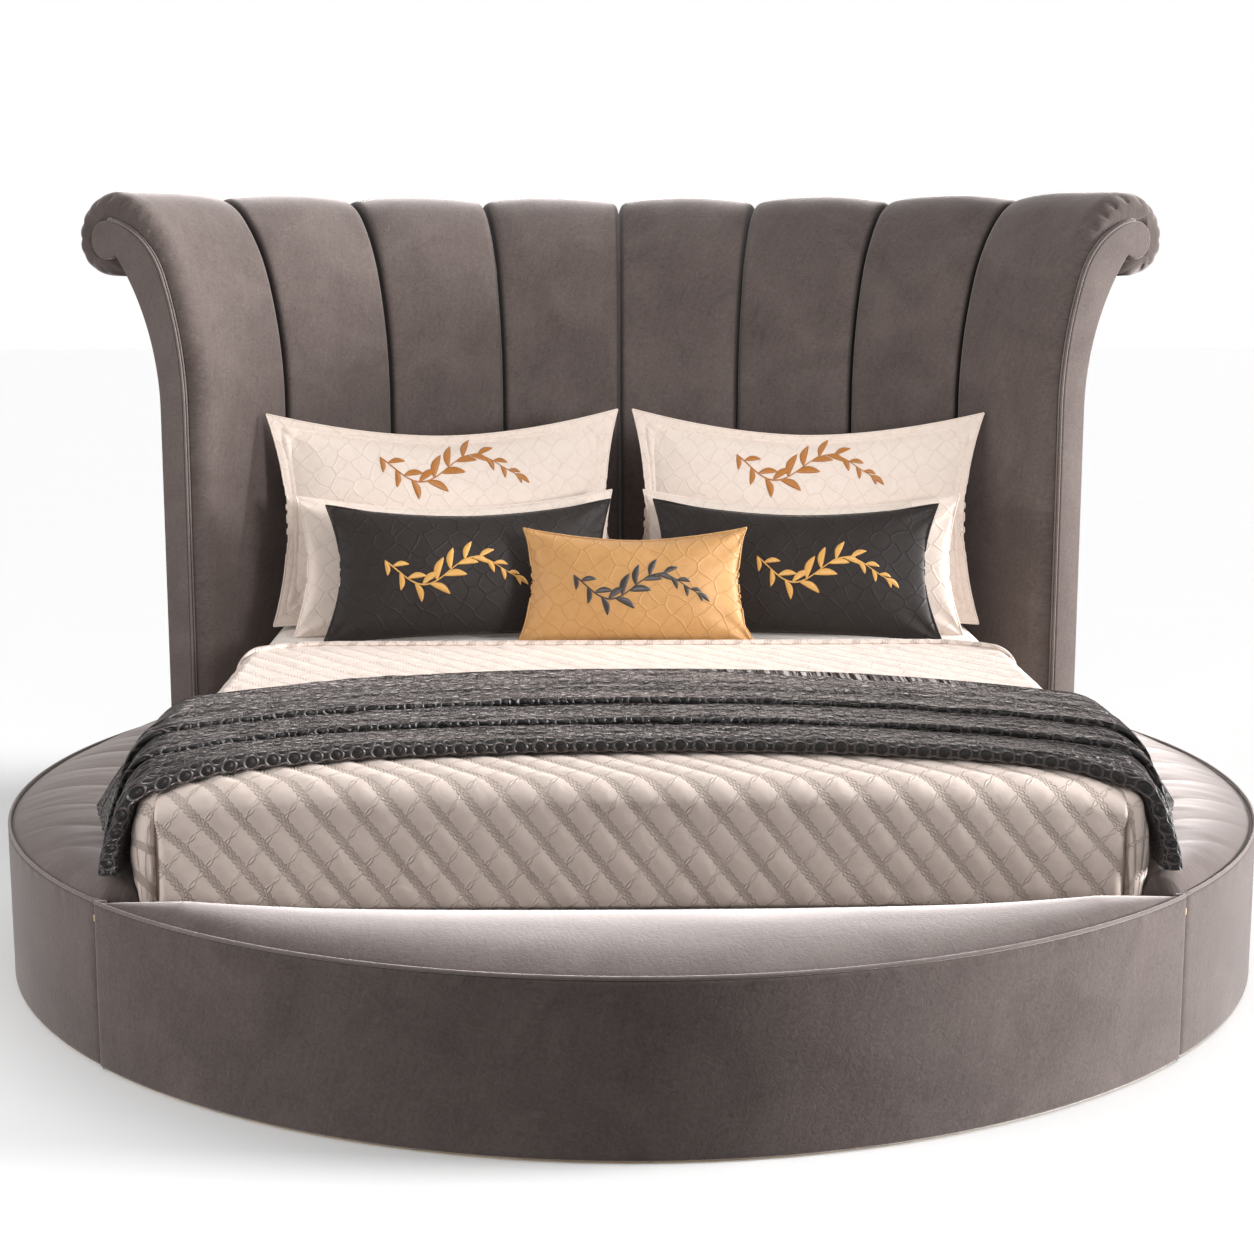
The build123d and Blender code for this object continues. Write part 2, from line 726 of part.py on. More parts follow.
def bed_body(offset, bottom, top):
    """Mattress shape with rounded corners and top edge, grown by an offset."""
    body = prism(bed_outline(offset), bottom, top)
    body = body.fillet(mattress_corner_radius + offset, body.edges().filter_by(Axis.Z))
    return body.fillet(mattress_edge_radius + offset, body.faces().sort_by(Axis.Z)[-1].edges())


def coverlet_outside(grow):
    """Outside of the coverlet, grown by an offset: top, flared sides and front."""
    cover = fit_gap + sheet_thickness + fit_gap + coverlet_thickness + grow
    x, front, top = mattress_half_width + cover, -mattress_front - cover, coverlet_top + grow
    foot = coverlet_foot_half_width + grow
    hem = coverlet_hem_height
    face = make_face(Polyline((-foot, hem), (-x, top), (x, top), (foot, hem), close=True)).face()
    upright = Plane(origin=(0, coverlet_head_y, 0), x_dir=(1, 0, 0), z_dir=(0, -1, 0))
    body = Solid.extrude(upright * face, Vector(0, front - coverlet_head_y, 0))
    lid = body.faces().sort_by(Axis.Z)[-1]
    edges = [e for e in lid.edges() if e.center().Y < coverlet_head_y - fit_gap]
    return body.fillet(coverlet_edge_radius + grow, edges)


def coverlet():
    """Quilted coverlet over the mattress, with a rounded head end and a pleat at each front corner."""
    foot, head = coverlet_foot_half_width + cut_overrun, coverlet_head_y
    outline = Polyline((-foot, -base_radius), (foot, -base_radius), (foot, head), (-foot, head), close=True)
    room = prism(make_face(outline).face(), 0, headboard_height)
    corners = [e for e in room.edges().filter_by(Axis.Z) if e.center().Y > 0]
    room = room.fillet(coverlet_head_corner, corners)
    offset = 2 * fit_gap + sheet_thickness
    body = coverlet_outside(0) & room
    body = body - bed_body(offset, 0, mattress_top + offset)
    front = -mattress_front - offset - coverlet_thickness
    for side in (-1, 1):
        x = side * (mattress_half_width - pleat_inset)
        body = body - block(x - pleat_width / 2, x + pleat_width / 2, front - cut_overrun, front + pleat_depth,
                            0, coverlet_top - coverlet_edge_radius)
    return solids_of(body)[0]


def throw_section(y, overhang, thickness):
    """Section of the throw at one y, seen from the foot: flat on the bed, then down to the side pads."""
    corner = mattress_half_width + 2 * fit_gap + sheet_thickness + coverlet_thickness
    flare = atan2(coverlet_foot_half_width - corner, coverlet_top - coverlet_hem_height)
    x = corner - coverlet_edge_radius / tan((pi / 2 + flare) / 2)
    centre = Vector(x, coverlet_top - coverlet_edge_radius)
    radius = coverlet_edge_radius + fit_gap
    end = Vector(side_rail_x + overhang, seam_height + pad_crown + 2 * fit_gap)
    way = end - centre
    tilt = atan2(-way.Y, way.X) + asin(radius / hypot(way.X, way.Y))
    normal = Vector(sin(tilt), cos(tilt))
    halfway = Vector(sin(tilt / 2), cos(tilt / 2))
    up = Vector(0, 1)
    outer = radius + thickness
    points = [centre + up * radius, centre + halfway * radius, centre + normal * radius, end]
    over = [end + normal * thickness, centre + normal * outer, centre + halfway * outer, centre + up * outer]
    a, b, c, d, e, f, g, h = points + over
    right = [ThreePointArc(a, b, c), Line(c, d), Line(d, e), Line(e, f), ThreePointArc(f, g, h)]
    a, b, c, d, e, f, g, h = (Vector(-q.X, q.Y) for q in points + over)
    left = [ThreePointArc(h, g, f), Line(f, e), Line(e, d), Line(d, c), ThreePointArc(c, b, a)]
    edges = right + [Line(over[3], h)] + left + [Line(a, points[0])]
    upright = Plane(origin=(0, y, 0), x_dir=(1, 0, 0), z_dir=(0, -1, 0))
    return upright * Wire(edges)


def swept_disc(y, sweep):
    """Upright cylinder whose front passes through y and falls back by a sweep at the side rails."""
    radius = (side_rail_x ** 2 + sweep ** 2) / (2 * sweep)
    return Solid.make_cylinder(radius, headboard_height).moved(Location((0, y - radius, 0)))


def throw():
    """Folded throw across the bed. Each fold lies further back than the one under it."""
    front = -front_joint_y - cut_overrun
    body = None
    for k, back_step in enumerate(throw_fold_back_steps):
        thickness = throw_thickness + k * throw_fold_step
        sections = [
            throw_section(front, throw_front_overhang, thickness),
            throw_section(throw_back_y + cut_overrun, throw_back_overhang, thickness),
        ]
        band = Solid.make_loft(sections, ruled=True)
        layer = band & swept_disc(throw_back_y, throw_back_sweep)
        layer = layer - swept_disc(throw_front_y + back_step, throw_front_sweep)
        body = layer if body is None else body + layer
    return solids_of(body - coverlet_outside(fit_gap))[0]


# Cushions

def cushion_outline(width, height, inset, draw_share):
    """Four concave arcs between pointed corners, drawn in by an inset."""
    x, y = width / 2 - inset, height / 2 - inset
    dx, dy = side_draw * draw_share, edge_draw * draw_share
    return [
        ThreePointArc((-x, -y), (0, -y + dy), (x, -y)),
        ThreePointArc((x, -y), (x - dx, 0), (x, y)),
        ThreePointArc((x, y), (0, y - dy), (-x, y)),
        ThreePointArc((-x, y), (-x + dx, 0), (-x, -y)),
    ]


def cushion_body(size):
    """Crowned cushion with drawn-in sides, lofted through outlines from the back to the front."""
    width, height, thickness = size
    wires = []
    for share in crown_heading_shares:
        heading = share * pi / 2
        inset = crown_inset_share * height * (1 - cos(heading))
        level = thickness / 2 * sin(heading) / sin(crown_heading_shares[-1] * pi / 2)
        outline = cushion_outline(width, height, inset, cos(heading))
        wires.append(Wire(outline).moved(Location((0, 0, level))))
    return Solid.make_loft(wires, ruled=True)


def sham(size):
    """Cushion with a flat flange all round its seam."""
    width, height, thickness = size
    inner = cushion_body((width - 2 * sham_flange, height - 2 * sham_flange, thickness))
    flange = Solid.extrude(make_face(cushion_outline(width, height, 0, 1)).face(), Vector(0, 0, flange_thickness))
    return (inner + flange.moved(Location((0, 0, -flange_thickness / 2)))).solid()


def stand(shape, place, yaw, rest_height):
    """Turn a cushion upright, lean it back, put its middle at a place and set it down."""
    lean, y = radians(cushion_lean), radians(yaw)
    front = Vector(sin(y) * cos(lean), -cos(y) * cos(lean), sin(lean))
    plane = Plane(origin=place, x_dir=(cos(y), sin(y), 0), z_dir=front)
    stood = plane.location * shape
    return stood.moved(Location((0, 0, rest_height - stood.bounding_box().min.Z)))


def cushions():
    """Three leaning rows on each side and one cushion in the middle."""
    lean, yaw = radians(cushion_lean), radians(row_yaw)
    slant = cos(lean) * cos(yaw)
    height = sheet_top + fit_gap
    outer = centre_gap + sham_size[0] * cos(yaw)
    corner_y = arc_centre_y + sqrt(crest_radius ** 2 - outer ** 2) - sham_flange
    plane_y = corner_y + outer * tan(yaw) - sham_size[1] * sin(lean)
    last = sham_size[2] / 2
    for name, size in (("sham", sham_size), ("plain_cushion", plain_size), ("dark_cushion", dark_size)):
        if name != "sham":
            plane_y -= (last + size[2] / 2 + row_gap) / slant
            last = size[2] / 2
        shape = sham(size) if name == "sham" else cushion_body(size)
        x = centre_gap + size[0] / 2 * cos(yaw) + last * sin(yaw)
        y = plane_y - x * tan(yaw) + size[1] / 2 * sin(lean)
        for side, word in ((-1, "left"), (1, "right")):
            save(name + "_" + word, stand(shape, (side * x, y, headboard_height), -side * row_yaw, height))
    plane_y -= (last + row_gap) / slant + gold_size[0] / 2 * tan(yaw) + gold_size[2] / 2 / cos(lean)
    y = plane_y + gold_size[1] / 2 * sin(lean)
    save("gold_cushion", stand(cushion_body(gold_size), (0, y, headboard_height), 0, height))


def bedding():
    """Mattress, fitted sheet, coverlet and throw."""
    save("mattress", bed_body(0, mattress_bottom, mattress_top))
    inner = bed_body(fit_gap, 0, mattress_top + fit_gap)
    outer = bed_body(fit_gap + sheet_thickness, mattress_bottom + mattress_edge_radius, sheet_top)
    save("fitted_sheet", outer - inner)
    save("coverlet", coverlet())
    save("throw", throw())


def headboard():
    """Everything of the headboard."""
    for index in range(channel_count):
        save("channel_" + str(index + 1), channel(index))
    headboard_boards()
    headboard_back_cover()
    headboard_caps()
    return headboard_fixings()


round_base()
corner_fixings()
bed_support(headboard())
bedding()
cushions()
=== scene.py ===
import math

import bpy
import numpy as np
from mathutils.bvhtree import BVHTree
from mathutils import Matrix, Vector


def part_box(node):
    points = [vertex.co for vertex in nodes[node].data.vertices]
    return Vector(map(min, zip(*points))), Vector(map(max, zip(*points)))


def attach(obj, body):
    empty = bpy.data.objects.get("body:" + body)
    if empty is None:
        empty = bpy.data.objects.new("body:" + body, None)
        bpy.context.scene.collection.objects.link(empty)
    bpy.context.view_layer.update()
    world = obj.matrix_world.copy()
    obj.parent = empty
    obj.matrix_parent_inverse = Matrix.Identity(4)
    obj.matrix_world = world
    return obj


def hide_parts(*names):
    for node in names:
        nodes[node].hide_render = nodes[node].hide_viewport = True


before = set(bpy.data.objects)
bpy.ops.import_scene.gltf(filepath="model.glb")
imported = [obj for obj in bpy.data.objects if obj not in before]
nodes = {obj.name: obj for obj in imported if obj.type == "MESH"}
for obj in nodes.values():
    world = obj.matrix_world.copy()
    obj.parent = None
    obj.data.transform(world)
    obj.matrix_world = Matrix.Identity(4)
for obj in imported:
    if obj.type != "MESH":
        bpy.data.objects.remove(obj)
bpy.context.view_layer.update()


# Timber of the base and headboard: bent birch plywood skins and panels over pine rails, ribs and
# slats. The plywood is peeled veneer, so its grain is broad and wavy; the pine is sawn and planed,
# with fine straight grain.

def linear(code):
    """An sRGB hex colour as linear light."""
    parts = [int(code[k:k + 2], 16) / 255 for k in (1, 3, 5)]
    return [p / 12.92 if p <= 0.04045 else ((p + 0.055) / 1.055) ** 2.4 for p in parts] + [1.0]


def add(tree, kind, settings):
    """Adds a shader node, sets its options and values, and links sockets given as values."""
    node = tree.nodes.new("ShaderNode" + kind)
    for name, value in settings.items():
        if isinstance(name, str) and name[0].islower():
            setattr(node, name, value)
        elif isinstance(value, bpy.types.NodeSocket):
            tree.links.new(value, node.inputs[name])
        else:
            node.inputs[name].default_value = value
    return node


def finish_of(name, values):
    """A new material; returns it, its node tree and its shader with these values set."""
    made = bpy.data.materials.new(name)
    made.use_nodes = True
    shader = made.node_tree.nodes["Principled BSDF"]
    for socket, value in values.items():
        shader.inputs[socket].default_value = value
    return made, made.node_tree, shader


def wire(tree, shader, tone, relief=None):
    """Links a colour, and a relief where there is one, to a material's shader."""
    tree.links.new(tone.outputs[2], shader.inputs["Base Color"])
    if relief:
        tree.links.new(relief.outputs[0], shader.inputs["Normal"])


def dress(piece, made):
    """Gives a piece or CAD node one material."""
    piece.data.materials.clear()
    piece.data.materials.append(made)


def timber(name, light, dark, grain_stretch, ring_width):
    """Planed wood whose grain runs along X."""
    made, tree, shader = finish_of(name, {"Roughness": 0.6})
    place = add(tree, "TexCoord", {})
    along = add(tree, "Mapping", {"Vector": place.outputs["Object"], "Scale": grain_stretch})
    rings = add(tree, "TexNoise", {"Vector": along.outputs[0], "Scale": 1 / ring_width,
                                   "Detail": 4.0, "Distortion": 0.6})
    pores = add(tree, "TexNoise", {"Vector": along.outputs[0], "Scale": 9 / ring_width,
                                   "Detail": 2.0})
    both = add(tree, "Math", {"operation": "MULTIPLY", 0: rings.outputs[0], 1: pores.outputs[0]})
    shade = add(tree, "MapRange", {"Value": both.outputs[0], "From Min": 0.14, "From Max": 0.4})
    tone = add(tree, "Mix", {"data_type": "RGBA", 0: shade.outputs[0], 6: linear(dark),
                             7: linear(light)})
    relief = add(tree, "Bump", {"Height": both.outputs[0], "Strength": 0.3, "Distance": 0.0006})
    wire(tree, shader, tone, relief)
    return made


plywood = timber("birch_plywood_bent", "#d9c09a", "#b08d62", (0.25, 1.0, 1.0), 0.045)
pine = timber("pine_planed", "#dcbb86", "#b98b52", (0.06, 1.0, 1.0), 0.012)
for name in ("front_outer_panel", "left_outer_panel", "right_outer_panel", "front_top_panel",
             "left_top_panel", "right_top_panel", "headboard_front_boards",
             "headboard_back_board_left", "headboard_back_board_middle",
             "headboard_back_board_right"):
    dress(nodes[name], plywood)
for name in ("front_inner_rail", "left_inner_rail", "right_inner_rail", "base_ribs", "slat_ledgers",
             "slats", "centre_beam", "centre_legs", "head_rail", "headboard_spacers",
             "headboard_ribs", "headboard_scroll_core"):
    dress(nodes[name], pine)


# Fixings and feet: zinc-plated steel angles and coach bolts, which are dull and faintly mottled,
# and black moulded nylon glides and leg feet with a fine matt grain.

def mottled(name, values, kind, texture, low, high, bump=None):
    """A material whose colour follows one texture, and its relief too where a bump's strength and
    distance are given."""
    made, tree, shader = finish_of(name, values)
    place = add(tree, "TexCoord", {})
    marks = add(tree, kind, {"Vector": place.outputs["Object"], **texture})
    tone = add(tree, "Mix", {"data_type": "RGBA", 0: marks.outputs[0], 6: linear(low),
                             7: linear(high)})
    relief = bump and add(tree, "Bump", {"Height": marks.outputs[0], "Strength": bump[0],
                                         "Distance": bump[1]})
    wire(tree, shader, tone, relief)
    return made


zinc = mottled("steel_zinc_plated", {"Metallic": 1.0, "Roughness": 0.38},
               "TexVoronoi", {"Scale": 160.0}, "#c9ccd0", "#9fa4a8")
nylon = mottled("nylon_moulded_black", {"Roughness": 0.55},
                "TexNoise", {"Scale": 1400.0, "Detail": 2.0}, "#17171a", "#26262a", (0.4, 0.0003))
for name in ("corner_brackets", "corner_bolts", "headboard_bolts"):
    dress(nodes[name], zinc)
for name in ("floor_glides", "leg_feet"):
    dress(nodes[name], nylon)


# Wall covers and welts of the round base: taupe upholstery velvet stretched over the bent panels
# and stapled under them, with a corded welt sewn into the top seam. The pile is brushed, so it
# shows soft patches and slanting nap marks, and its edges catch a pale sheen.

def points_of(mesh):
    """A mesh's points, one in a row."""
    points = np.empty(len(mesh.vertices) * 3)
    mesh.vertices.foreach_get("co", points)
    return points.reshape(-1, 3)


def piece_of_cloth(name, columns, rows, shape):
    """A grid whose points the shape moves; the shape gives places and UVs in metres."""
    bpy.ops.object.select_all(action="DESELECT")
    bpy.ops.mesh.primitive_grid_add(x_subdivisions=columns, y_subdivisions=rows, size=1)
    piece = bpy.context.active_object
    piece.name = piece.data.name = name
    mesh = piece.data
    flat = np.round(points_of(mesh) + 0.5, 6)
    places, lay = shape(flat[:, 0], flat[:, 1])
    mesh.vertices.foreach_set("co", np.stack(places, 1).astype(np.float32).ravel())
    corner = np.empty(len(mesh.loops), np.int32)
    mesh.loops.foreach_get("vertex_index", corner)
    lay = np.stack(lay, 1)[corner]
    mesh.uv_layers[0].data.foreach_set("uv", lay.astype(np.float32).ravel())
    mesh.update()
    bpy.ops.object.shade_smooth()
    return piece


def select_only(piece):
    """Selects one piece and makes it the active one."""
    bpy.ops.object.select_all(action="DESELECT")
    piece.select_set(True)
    bpy.context.view_layer.objects.active = piece


def sew_shut(piece, merge=0.00002, close_ends=True):
    """Joins the edges of a wrapped grid, closes its ends and turns its faces outwards."""
    select_only(piece)
    bpy.ops.object.mode_set(mode="EDIT")
    bpy.ops.mesh.select_all(action="SELECT")
    if merge:
        bpy.ops.mesh.remove_doubles(threshold=merge)
    if close_ends:
        bpy.ops.mesh.fill_holes(sides=0)
        bpy.ops.mesh.select_all(action="SELECT")
    bpy.ops.mesh.normals_make_consistent(inside=False)
    bpy.ops.object.mode_set(mode="OBJECT")
    return piece


def join(pieces):
    """Joins pieces into the first one."""
    bpy.ops.object.select_all(action="DESELECT")
    for piece in pieces:
        piece.select_set(True)
    bpy.context.view_layer.objects.active = pieces[0]
    bpy.ops.object.join()
    return pieces[0]


def fit(piece, node, made):
    """Gives a piece its material and slot, and puts it in a CAD node's place."""
    dress(piece, made)
    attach(piece, "root")
    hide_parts(node)


def thicken(piece, thickness, rim_only=False):
    """Gives a single layer of cloth its thickness, or only its edge."""
    select_only(piece)
    shell = piece.modifiers.new("thickness", "SOLIDIFY")
    shell.thickness, shell.offset, shell.use_rim_only = thickness, -1.0, rim_only
    bpy.ops.object.modifier_apply(modifier=shell.name)
    return piece


def hash_noise(x, y, seed):
    """Smooth noise from -1 to 1 over a plane, one cell a unit."""
    cell_x, cell_y = np.floor(x), np.floor(y)
    fx, fy = x - cell_x, y - cell_y
    fx, fy = fx * fx * (3 - 2 * fx), fy * fy * (3 - 2 * fy)

    def corner(i, j):
        """The usual sine hash of a grid corner."""
        n = np.sin(i * 127.1 + j * 311.7 + seed * 74.7) * 43758.5453
        return (n - np.floor(n)) * 2 - 1

    low = corner(cell_x, cell_y) * (1 - fx) + corner(cell_x + 1, cell_y) * fx
    high = corner(cell_x, cell_y + 1) * (1 - fx) + corner(cell_x + 1, cell_y + 1) * fx
    return low * (1 - fy) + high * fy


def velvet_of(name, low, high, seam=None):
    """Brushed pile: broad patches, slanting nap marks and short crushed strokes, with a pale sheen.
    Along the seams the pile is painted dark as painted shade; the seams lie a seam's distance apart
    except at the ends."""
    made, tree, shader = finish_of(name, {
        "Roughness": 0.85, "Sheen Weight": 1.0, "Sheen Roughness": 0.36,
        "Sheen Tint": linear("#efe7e5"), "Specular IOR Level": 0.15})
    nap = add(tree, "UVMap", {"uv_map": "UVMap"})
    patch = add(tree, "TexNoise", {"Vector": nap.outputs[0], "Scale": 6.0, "Detail": 3.0,
                                   "Distortion": 0.8})
    # nap marks 9 mm wide and 70 mm long
    slant = add(tree, "Mapping", {"vector_type": "TEXTURE", "Vector": nap.outputs[0],
                                  "Rotation": (0, 0, math.radians(-14)),
                                  "Scale": (0.009, 0.070, 1.0)})
    stroke = add(tree, "TexNoise", {"Vector": slant.outputs[0], "Scale": 1.0, "Detail": 3.0,
                                    "Distortion": 0.9})
    crush = add(tree, "TexNoise", {"Vector": nap.outputs[0], "Scale": 52.0, "Detail": 4.0,
                                   "Distortion": 3.2})
    marks = add(tree, "Mix", {"data_type": "FLOAT", 0: 0.74, 2: stroke.outputs[0],
                              3: crush.outputs[0]})
    shade = add(tree, "Mix", {"data_type": "FLOAT", 0: 0.4, 2: marks.outputs[0],
                              3: patch.outputs[0]})
    level = add(tree, "MapRange", {"Value": shade.outputs[0], "From Min": 0.34, "From Max": 0.66})
    tone = add(tree, "Mix", {"data_type": "RGBA", 0: level.outputs[0], 6: linear(low),
                             7: linear(high)})
    # painted shade: near each seam the colour is pulled towards near black, standing in for the
    # shade in the seam's fold
    if seam:
        along = add(tree, "SeparateXYZ", {"Vector": nap.outputs[0]})
        inside = add(tree, "Clamp", {"Value": along.outputs[0], "Min": 0.06,
                                     "Max": channel_count * seam - 0.06})
        off = add(tree, "Math", {"operation": "PINGPONG", 0: inside.outputs[0], 1: seam / 2})
        seam_shade = add(tree, "MapRange", {"interpolation_type": "SMOOTHSTEP", "Value": off.outputs[0],
                                      "From Min": 0.0015, "From Max": 0.016,
                                      "To Min": 1.0, "To Max": 0.0})
        deep = add(tree, "Math", {"operation": "POWER", 0: seam_shade.outputs[0], 1: 2.2})
        tone = add(tree, "Mix", {"data_type": "RGBA", 0: deep.outputs[0], 6: tone.outputs[2],
                                 7: linear("#1c1716")})
    # the pile itself is finer; it is drawn as coarse as it needs to show
    pile = add(tree, "TexNoise", {"Vector": nap.outputs[0], "Scale": 700.0, "Detail": 2.0})
    coarse = add(tree, "Bump", {"Height": marks.outputs[0], "Strength": 0.30, "Distance": 0.0025})
    fine = add(tree, "Bump", {"Height": pile.outputs[0], "Strength": 0.35, "Distance": 0.0008,
                              "Normal": coarse.outputs[0]})
    wire(tree, shader, tone, fine)
    return made


velvet = velvet_of("velvet_upholstery_taupe", "#514744", "#6b605c")
# The welts and pipings are painted a lighter taupe than the walls: a painted highlight along the
# cord
cord_velvet_painted_highlight = velvet_of("velvet_corded_taupe_painted_highlight", "#6c625e", "#7f7470")
# The caps' velvet is painted a little lighter than the walls': painted light on the caps
cap_velvet_painted_light = velvet_of("velvet_cap_taupe_painted_light", "#615754", "#746965")

base_radius, side_radius = 1.330, 1.326
front_joint, side_joint, inner_x = 0.885, 0.883, 0.905
wall_bottom, wall_top = 0.0045, 0.311
corner_round = 0.011
wing_reach = math.radians(59.7 + 0.75)
arc_y, crest = 0.150, 1.220


def run_of(path):
    """Length along a path up to each of its points."""
    return np.concatenate([[0], np.cumsum(np.hypot(*np.diff(path, axis=0).T))])


def soft_path(points, rounding):
    """An even path through points, with its corners rounded; the ends stay put."""
    points = np.array(points, float)
    run = run_of(points)
    spacing = 0.0015
    s = np.linspace(0, run[-1], int(run[-1] / spacing))
    path = np.stack([np.interp(s, run, points[:, k]) for k in (0, 1)], 1)
    reach = max(1, int(rounding / spacing))
    for _ in range(2):
        padded = np.concatenate([2 * path[0] - path[reach:0:-1], path,
                                 2 * path[-1] - path[-2:-reach - 2:-1]])
        total = np.cumsum(np.concatenate([[[0, 0]], padded]), axis=0)
        path = (total[2 * reach + 1:] - total[:-2 * reach - 1]) / (2 * reach + 1)
    return path, run_of(path)


def along_path(path, run, s, inward=0.0):
    """Places on a path at lengths s, moved to its left by an amount."""
    x, y = (np.interp(s, run, path[:, k]) for k in (0, 1))
    step = 0.002
    ahead = [np.interp(s + step, run, path[:, k]) for k in (0, 1)]
    behind = [np.interp(s - step, run, path[:, k]) for k in (0, 1)]
    dx, dy = ahead[0] - behind[0], ahead[1] - behind[1]
    length = np.hypot(dx, dy) + 1e-12
    return x - dy / length * inward, y + dx / length * inward


def wall_path(side, radius, turn_in):
    """The outside of a segment's wall seen from above, with its ends turned in at the joints."""
    if side == 0:
        last = math.acos(front_joint / radius)
        a = np.linspace(-last, last, 400)
        arc = np.stack([radius * np.sin(a), -radius * np.cos(a)], 1)
        x = arc[0, 0]
        return [(x + turn_in, -front_joint)] + list(arc) + [(-x - turn_in, -front_joint)]
    # From the front joint back to the wing of the headboard, on the right side
    first = math.asin(side_joint / radius)
    sine, cosine = math.sin(wing_reach), math.cos(wing_reach)
    reach = -arc_y * cosine + math.sqrt((arc_y * cosine) ** 2 + radius ** 2 - arc_y ** 2)
    end = math.atan2(arc_y + reach * cosine, reach * sine)
    a = np.linspace(-first, end, 400)
    arc = np.stack([radius * np.cos(a), radius * np.sin(a)], 1)
    start = (arc[0, 0] - turn_in, -side_joint)
    stop = (arc[-1, 0] - turn_in * sine, arc[-1, 1] - turn_in * cosine)
    right = [start] + list(arc) + [stop]
    return right if side > 0 else [(-x, y) for x, y in right[::-1]]


for side, name, radius in ((0, "front", base_radius), (-1, "left", side_radius),
                           (1, "right", side_radius)):
    path, run = soft_path(wall_path(side, radius, 0.030), corner_round)
    profile = [(-0.0125, wall_bottom), (-0.003, wall_bottom), (-0.0008, wall_bottom + 0.0025),
               (0, wall_bottom + 0.008)]
    profile += [(0, z) for z in np.linspace(wall_bottom + 0.02, wall_top - 0.030, 16)]
    profile += [(0, z) for z in np.linspace(wall_top - 0.026, wall_top - 0.005, 9)]
    profile += [(-0.0012, wall_top - 0.0015), (-0.004, wall_top), (-0.009, wall_top)]
    profile = np.array(profile)
    rows = len(profile) - 1

    def wall(u, v, side=side, path=path, run=run):
        k = np.clip(np.round(v * rows).astype(int), 0, rows)
        inward, z = -profile[k, 0], profile[k, 1]
        s = u * run[-1]
        on_face = (inward == 0)
        pucker = (np.exp(-(wall_top - z) / 0.012)
                  * np.sin(s / 0.0105 + 2 * hash_noise(s * 14, s * 0, 3 + side)))
        ease = hash_noise(s * 3.2, z * 7, 11 + side) * 0.0006
        x, y = along_path(path, run, s, inward + on_face * (0.0006 + 0.0007 * pucker + ease))
        return (x, y, z), (s, z)

    cover = piece_of_cloth(name + "_velvet_wall", int(run[-1] / 0.0035), rows, wall)
    thicken(cover, 0.0022)

    def cord(u, v, path=path, run=run):
        s, a = u * run[-1], v * 2 * math.pi
        twist = 0.00018 * np.sin(s / 0.0021 + a)
        r = 0.0036 + twist
        x, y = along_path(path, run, s, 0.0037 - r * np.cos(a))
        return (x, y, 0.3149 + r * np.sin(a)), (s, v * 0.022)

    welt = sew_shut(piece_of_cloth(name + "_corded_welt", int(run[-1] / 0.004), 10, cord))
    fit(cover, name + "_wall_cover", velvet)
    fit(welt, name + "_welt", cord_velvet_painted_highlight)


# Pads on top of the base: foam under the same velvet, crowned between the welt and the mattress.
# The front one is smooth. The cover of each side one is pulled round its bend, which leaves soft
# ridges that fan across it.

pad_bottom, pad_seam, pad_crown = 0.2905, 0.3115, 0.044
pad_setback = 0.0073
top_run = 0.62


def crowned(t):
    """Swell of a pad across its width, t from 0 to 1."""
    return 1 - np.abs(2 * t - 1) ** 2.3


def pad_ring(share, crown):
    """A crowned section as shares of its width and heights, once round; the top comes first."""
    top = share < top_run
    t = np.where(top, share / top_run, 0)
    swell = crowned(t)
    rest = np.clip((share - top_run) / (1 - top_run), 0, 1)
    corners = [0, 0.2, 0.8, 1]
    across = np.where(top, t, np.interp(rest, corners, [1, 0.985, 0.015, 0]))
    under = np.interp(rest, corners, [pad_seam, pad_bottom, pad_bottom, pad_seam])
    return across, np.where(top, pad_seam + crown * swell, under), top * swell


front_crest, crest_share = 0.3365, 0.55


def front_pad_top(t, depth):
    """Height of the front pad, from its back edge to its welt; it dips behind its crest."""
    deep = np.clip(depth / 0.30, 0, 1)
    back = pad_seam - 0.019 * deep
    high = pad_seam + (front_crest - pad_seam) * np.clip(depth / 0.16, 0.12, 1)
    behind = back + (high - back) * (1 - (1 - np.clip(t / crest_share, 0, 1)) ** 2)
    fall = np.clip((t - crest_share) / (1 - crest_share), 0, 1) ** 2.6
    ahead = pad_seam + (high - pad_seam) * (1 - fall)
    return np.where(t < crest_share, behind, ahead)


def front_pad_shape(u, v):
    radius = base_radius - pad_setback
    half = math.sqrt(radius ** 2 - front_joint ** 2) * 0.994
    x = half * np.sin((v * 2 - 1) * math.pi / 2 * 0.999)
    depth = np.sqrt(radius ** 2 - x ** 2) - front_joint - 0.0006
    across, z, swell = pad_ring(u, 0.0)
    z = np.where(u < top_run, front_pad_top(np.clip(u / top_run, 0, 1), depth), z)
    back = front_pad_top(np.zeros_like(depth), depth)
    back_run = top_run + (1 - top_run) * 0.8
    rise = np.interp(u, [back_run, 1], [0, 1])
    z = np.where(u > back_run, rise * (back - pad_bottom) + pad_bottom, z)
    y = -front_joint - 0.0003 - across * depth
    ease = hash_noise(x * 5, y * 9, 2) * 0.0012 * swell * np.clip(depth / 0.1, 0, 1)
    return (x, y, z + ease), (x, across * depth + z * 0.4)


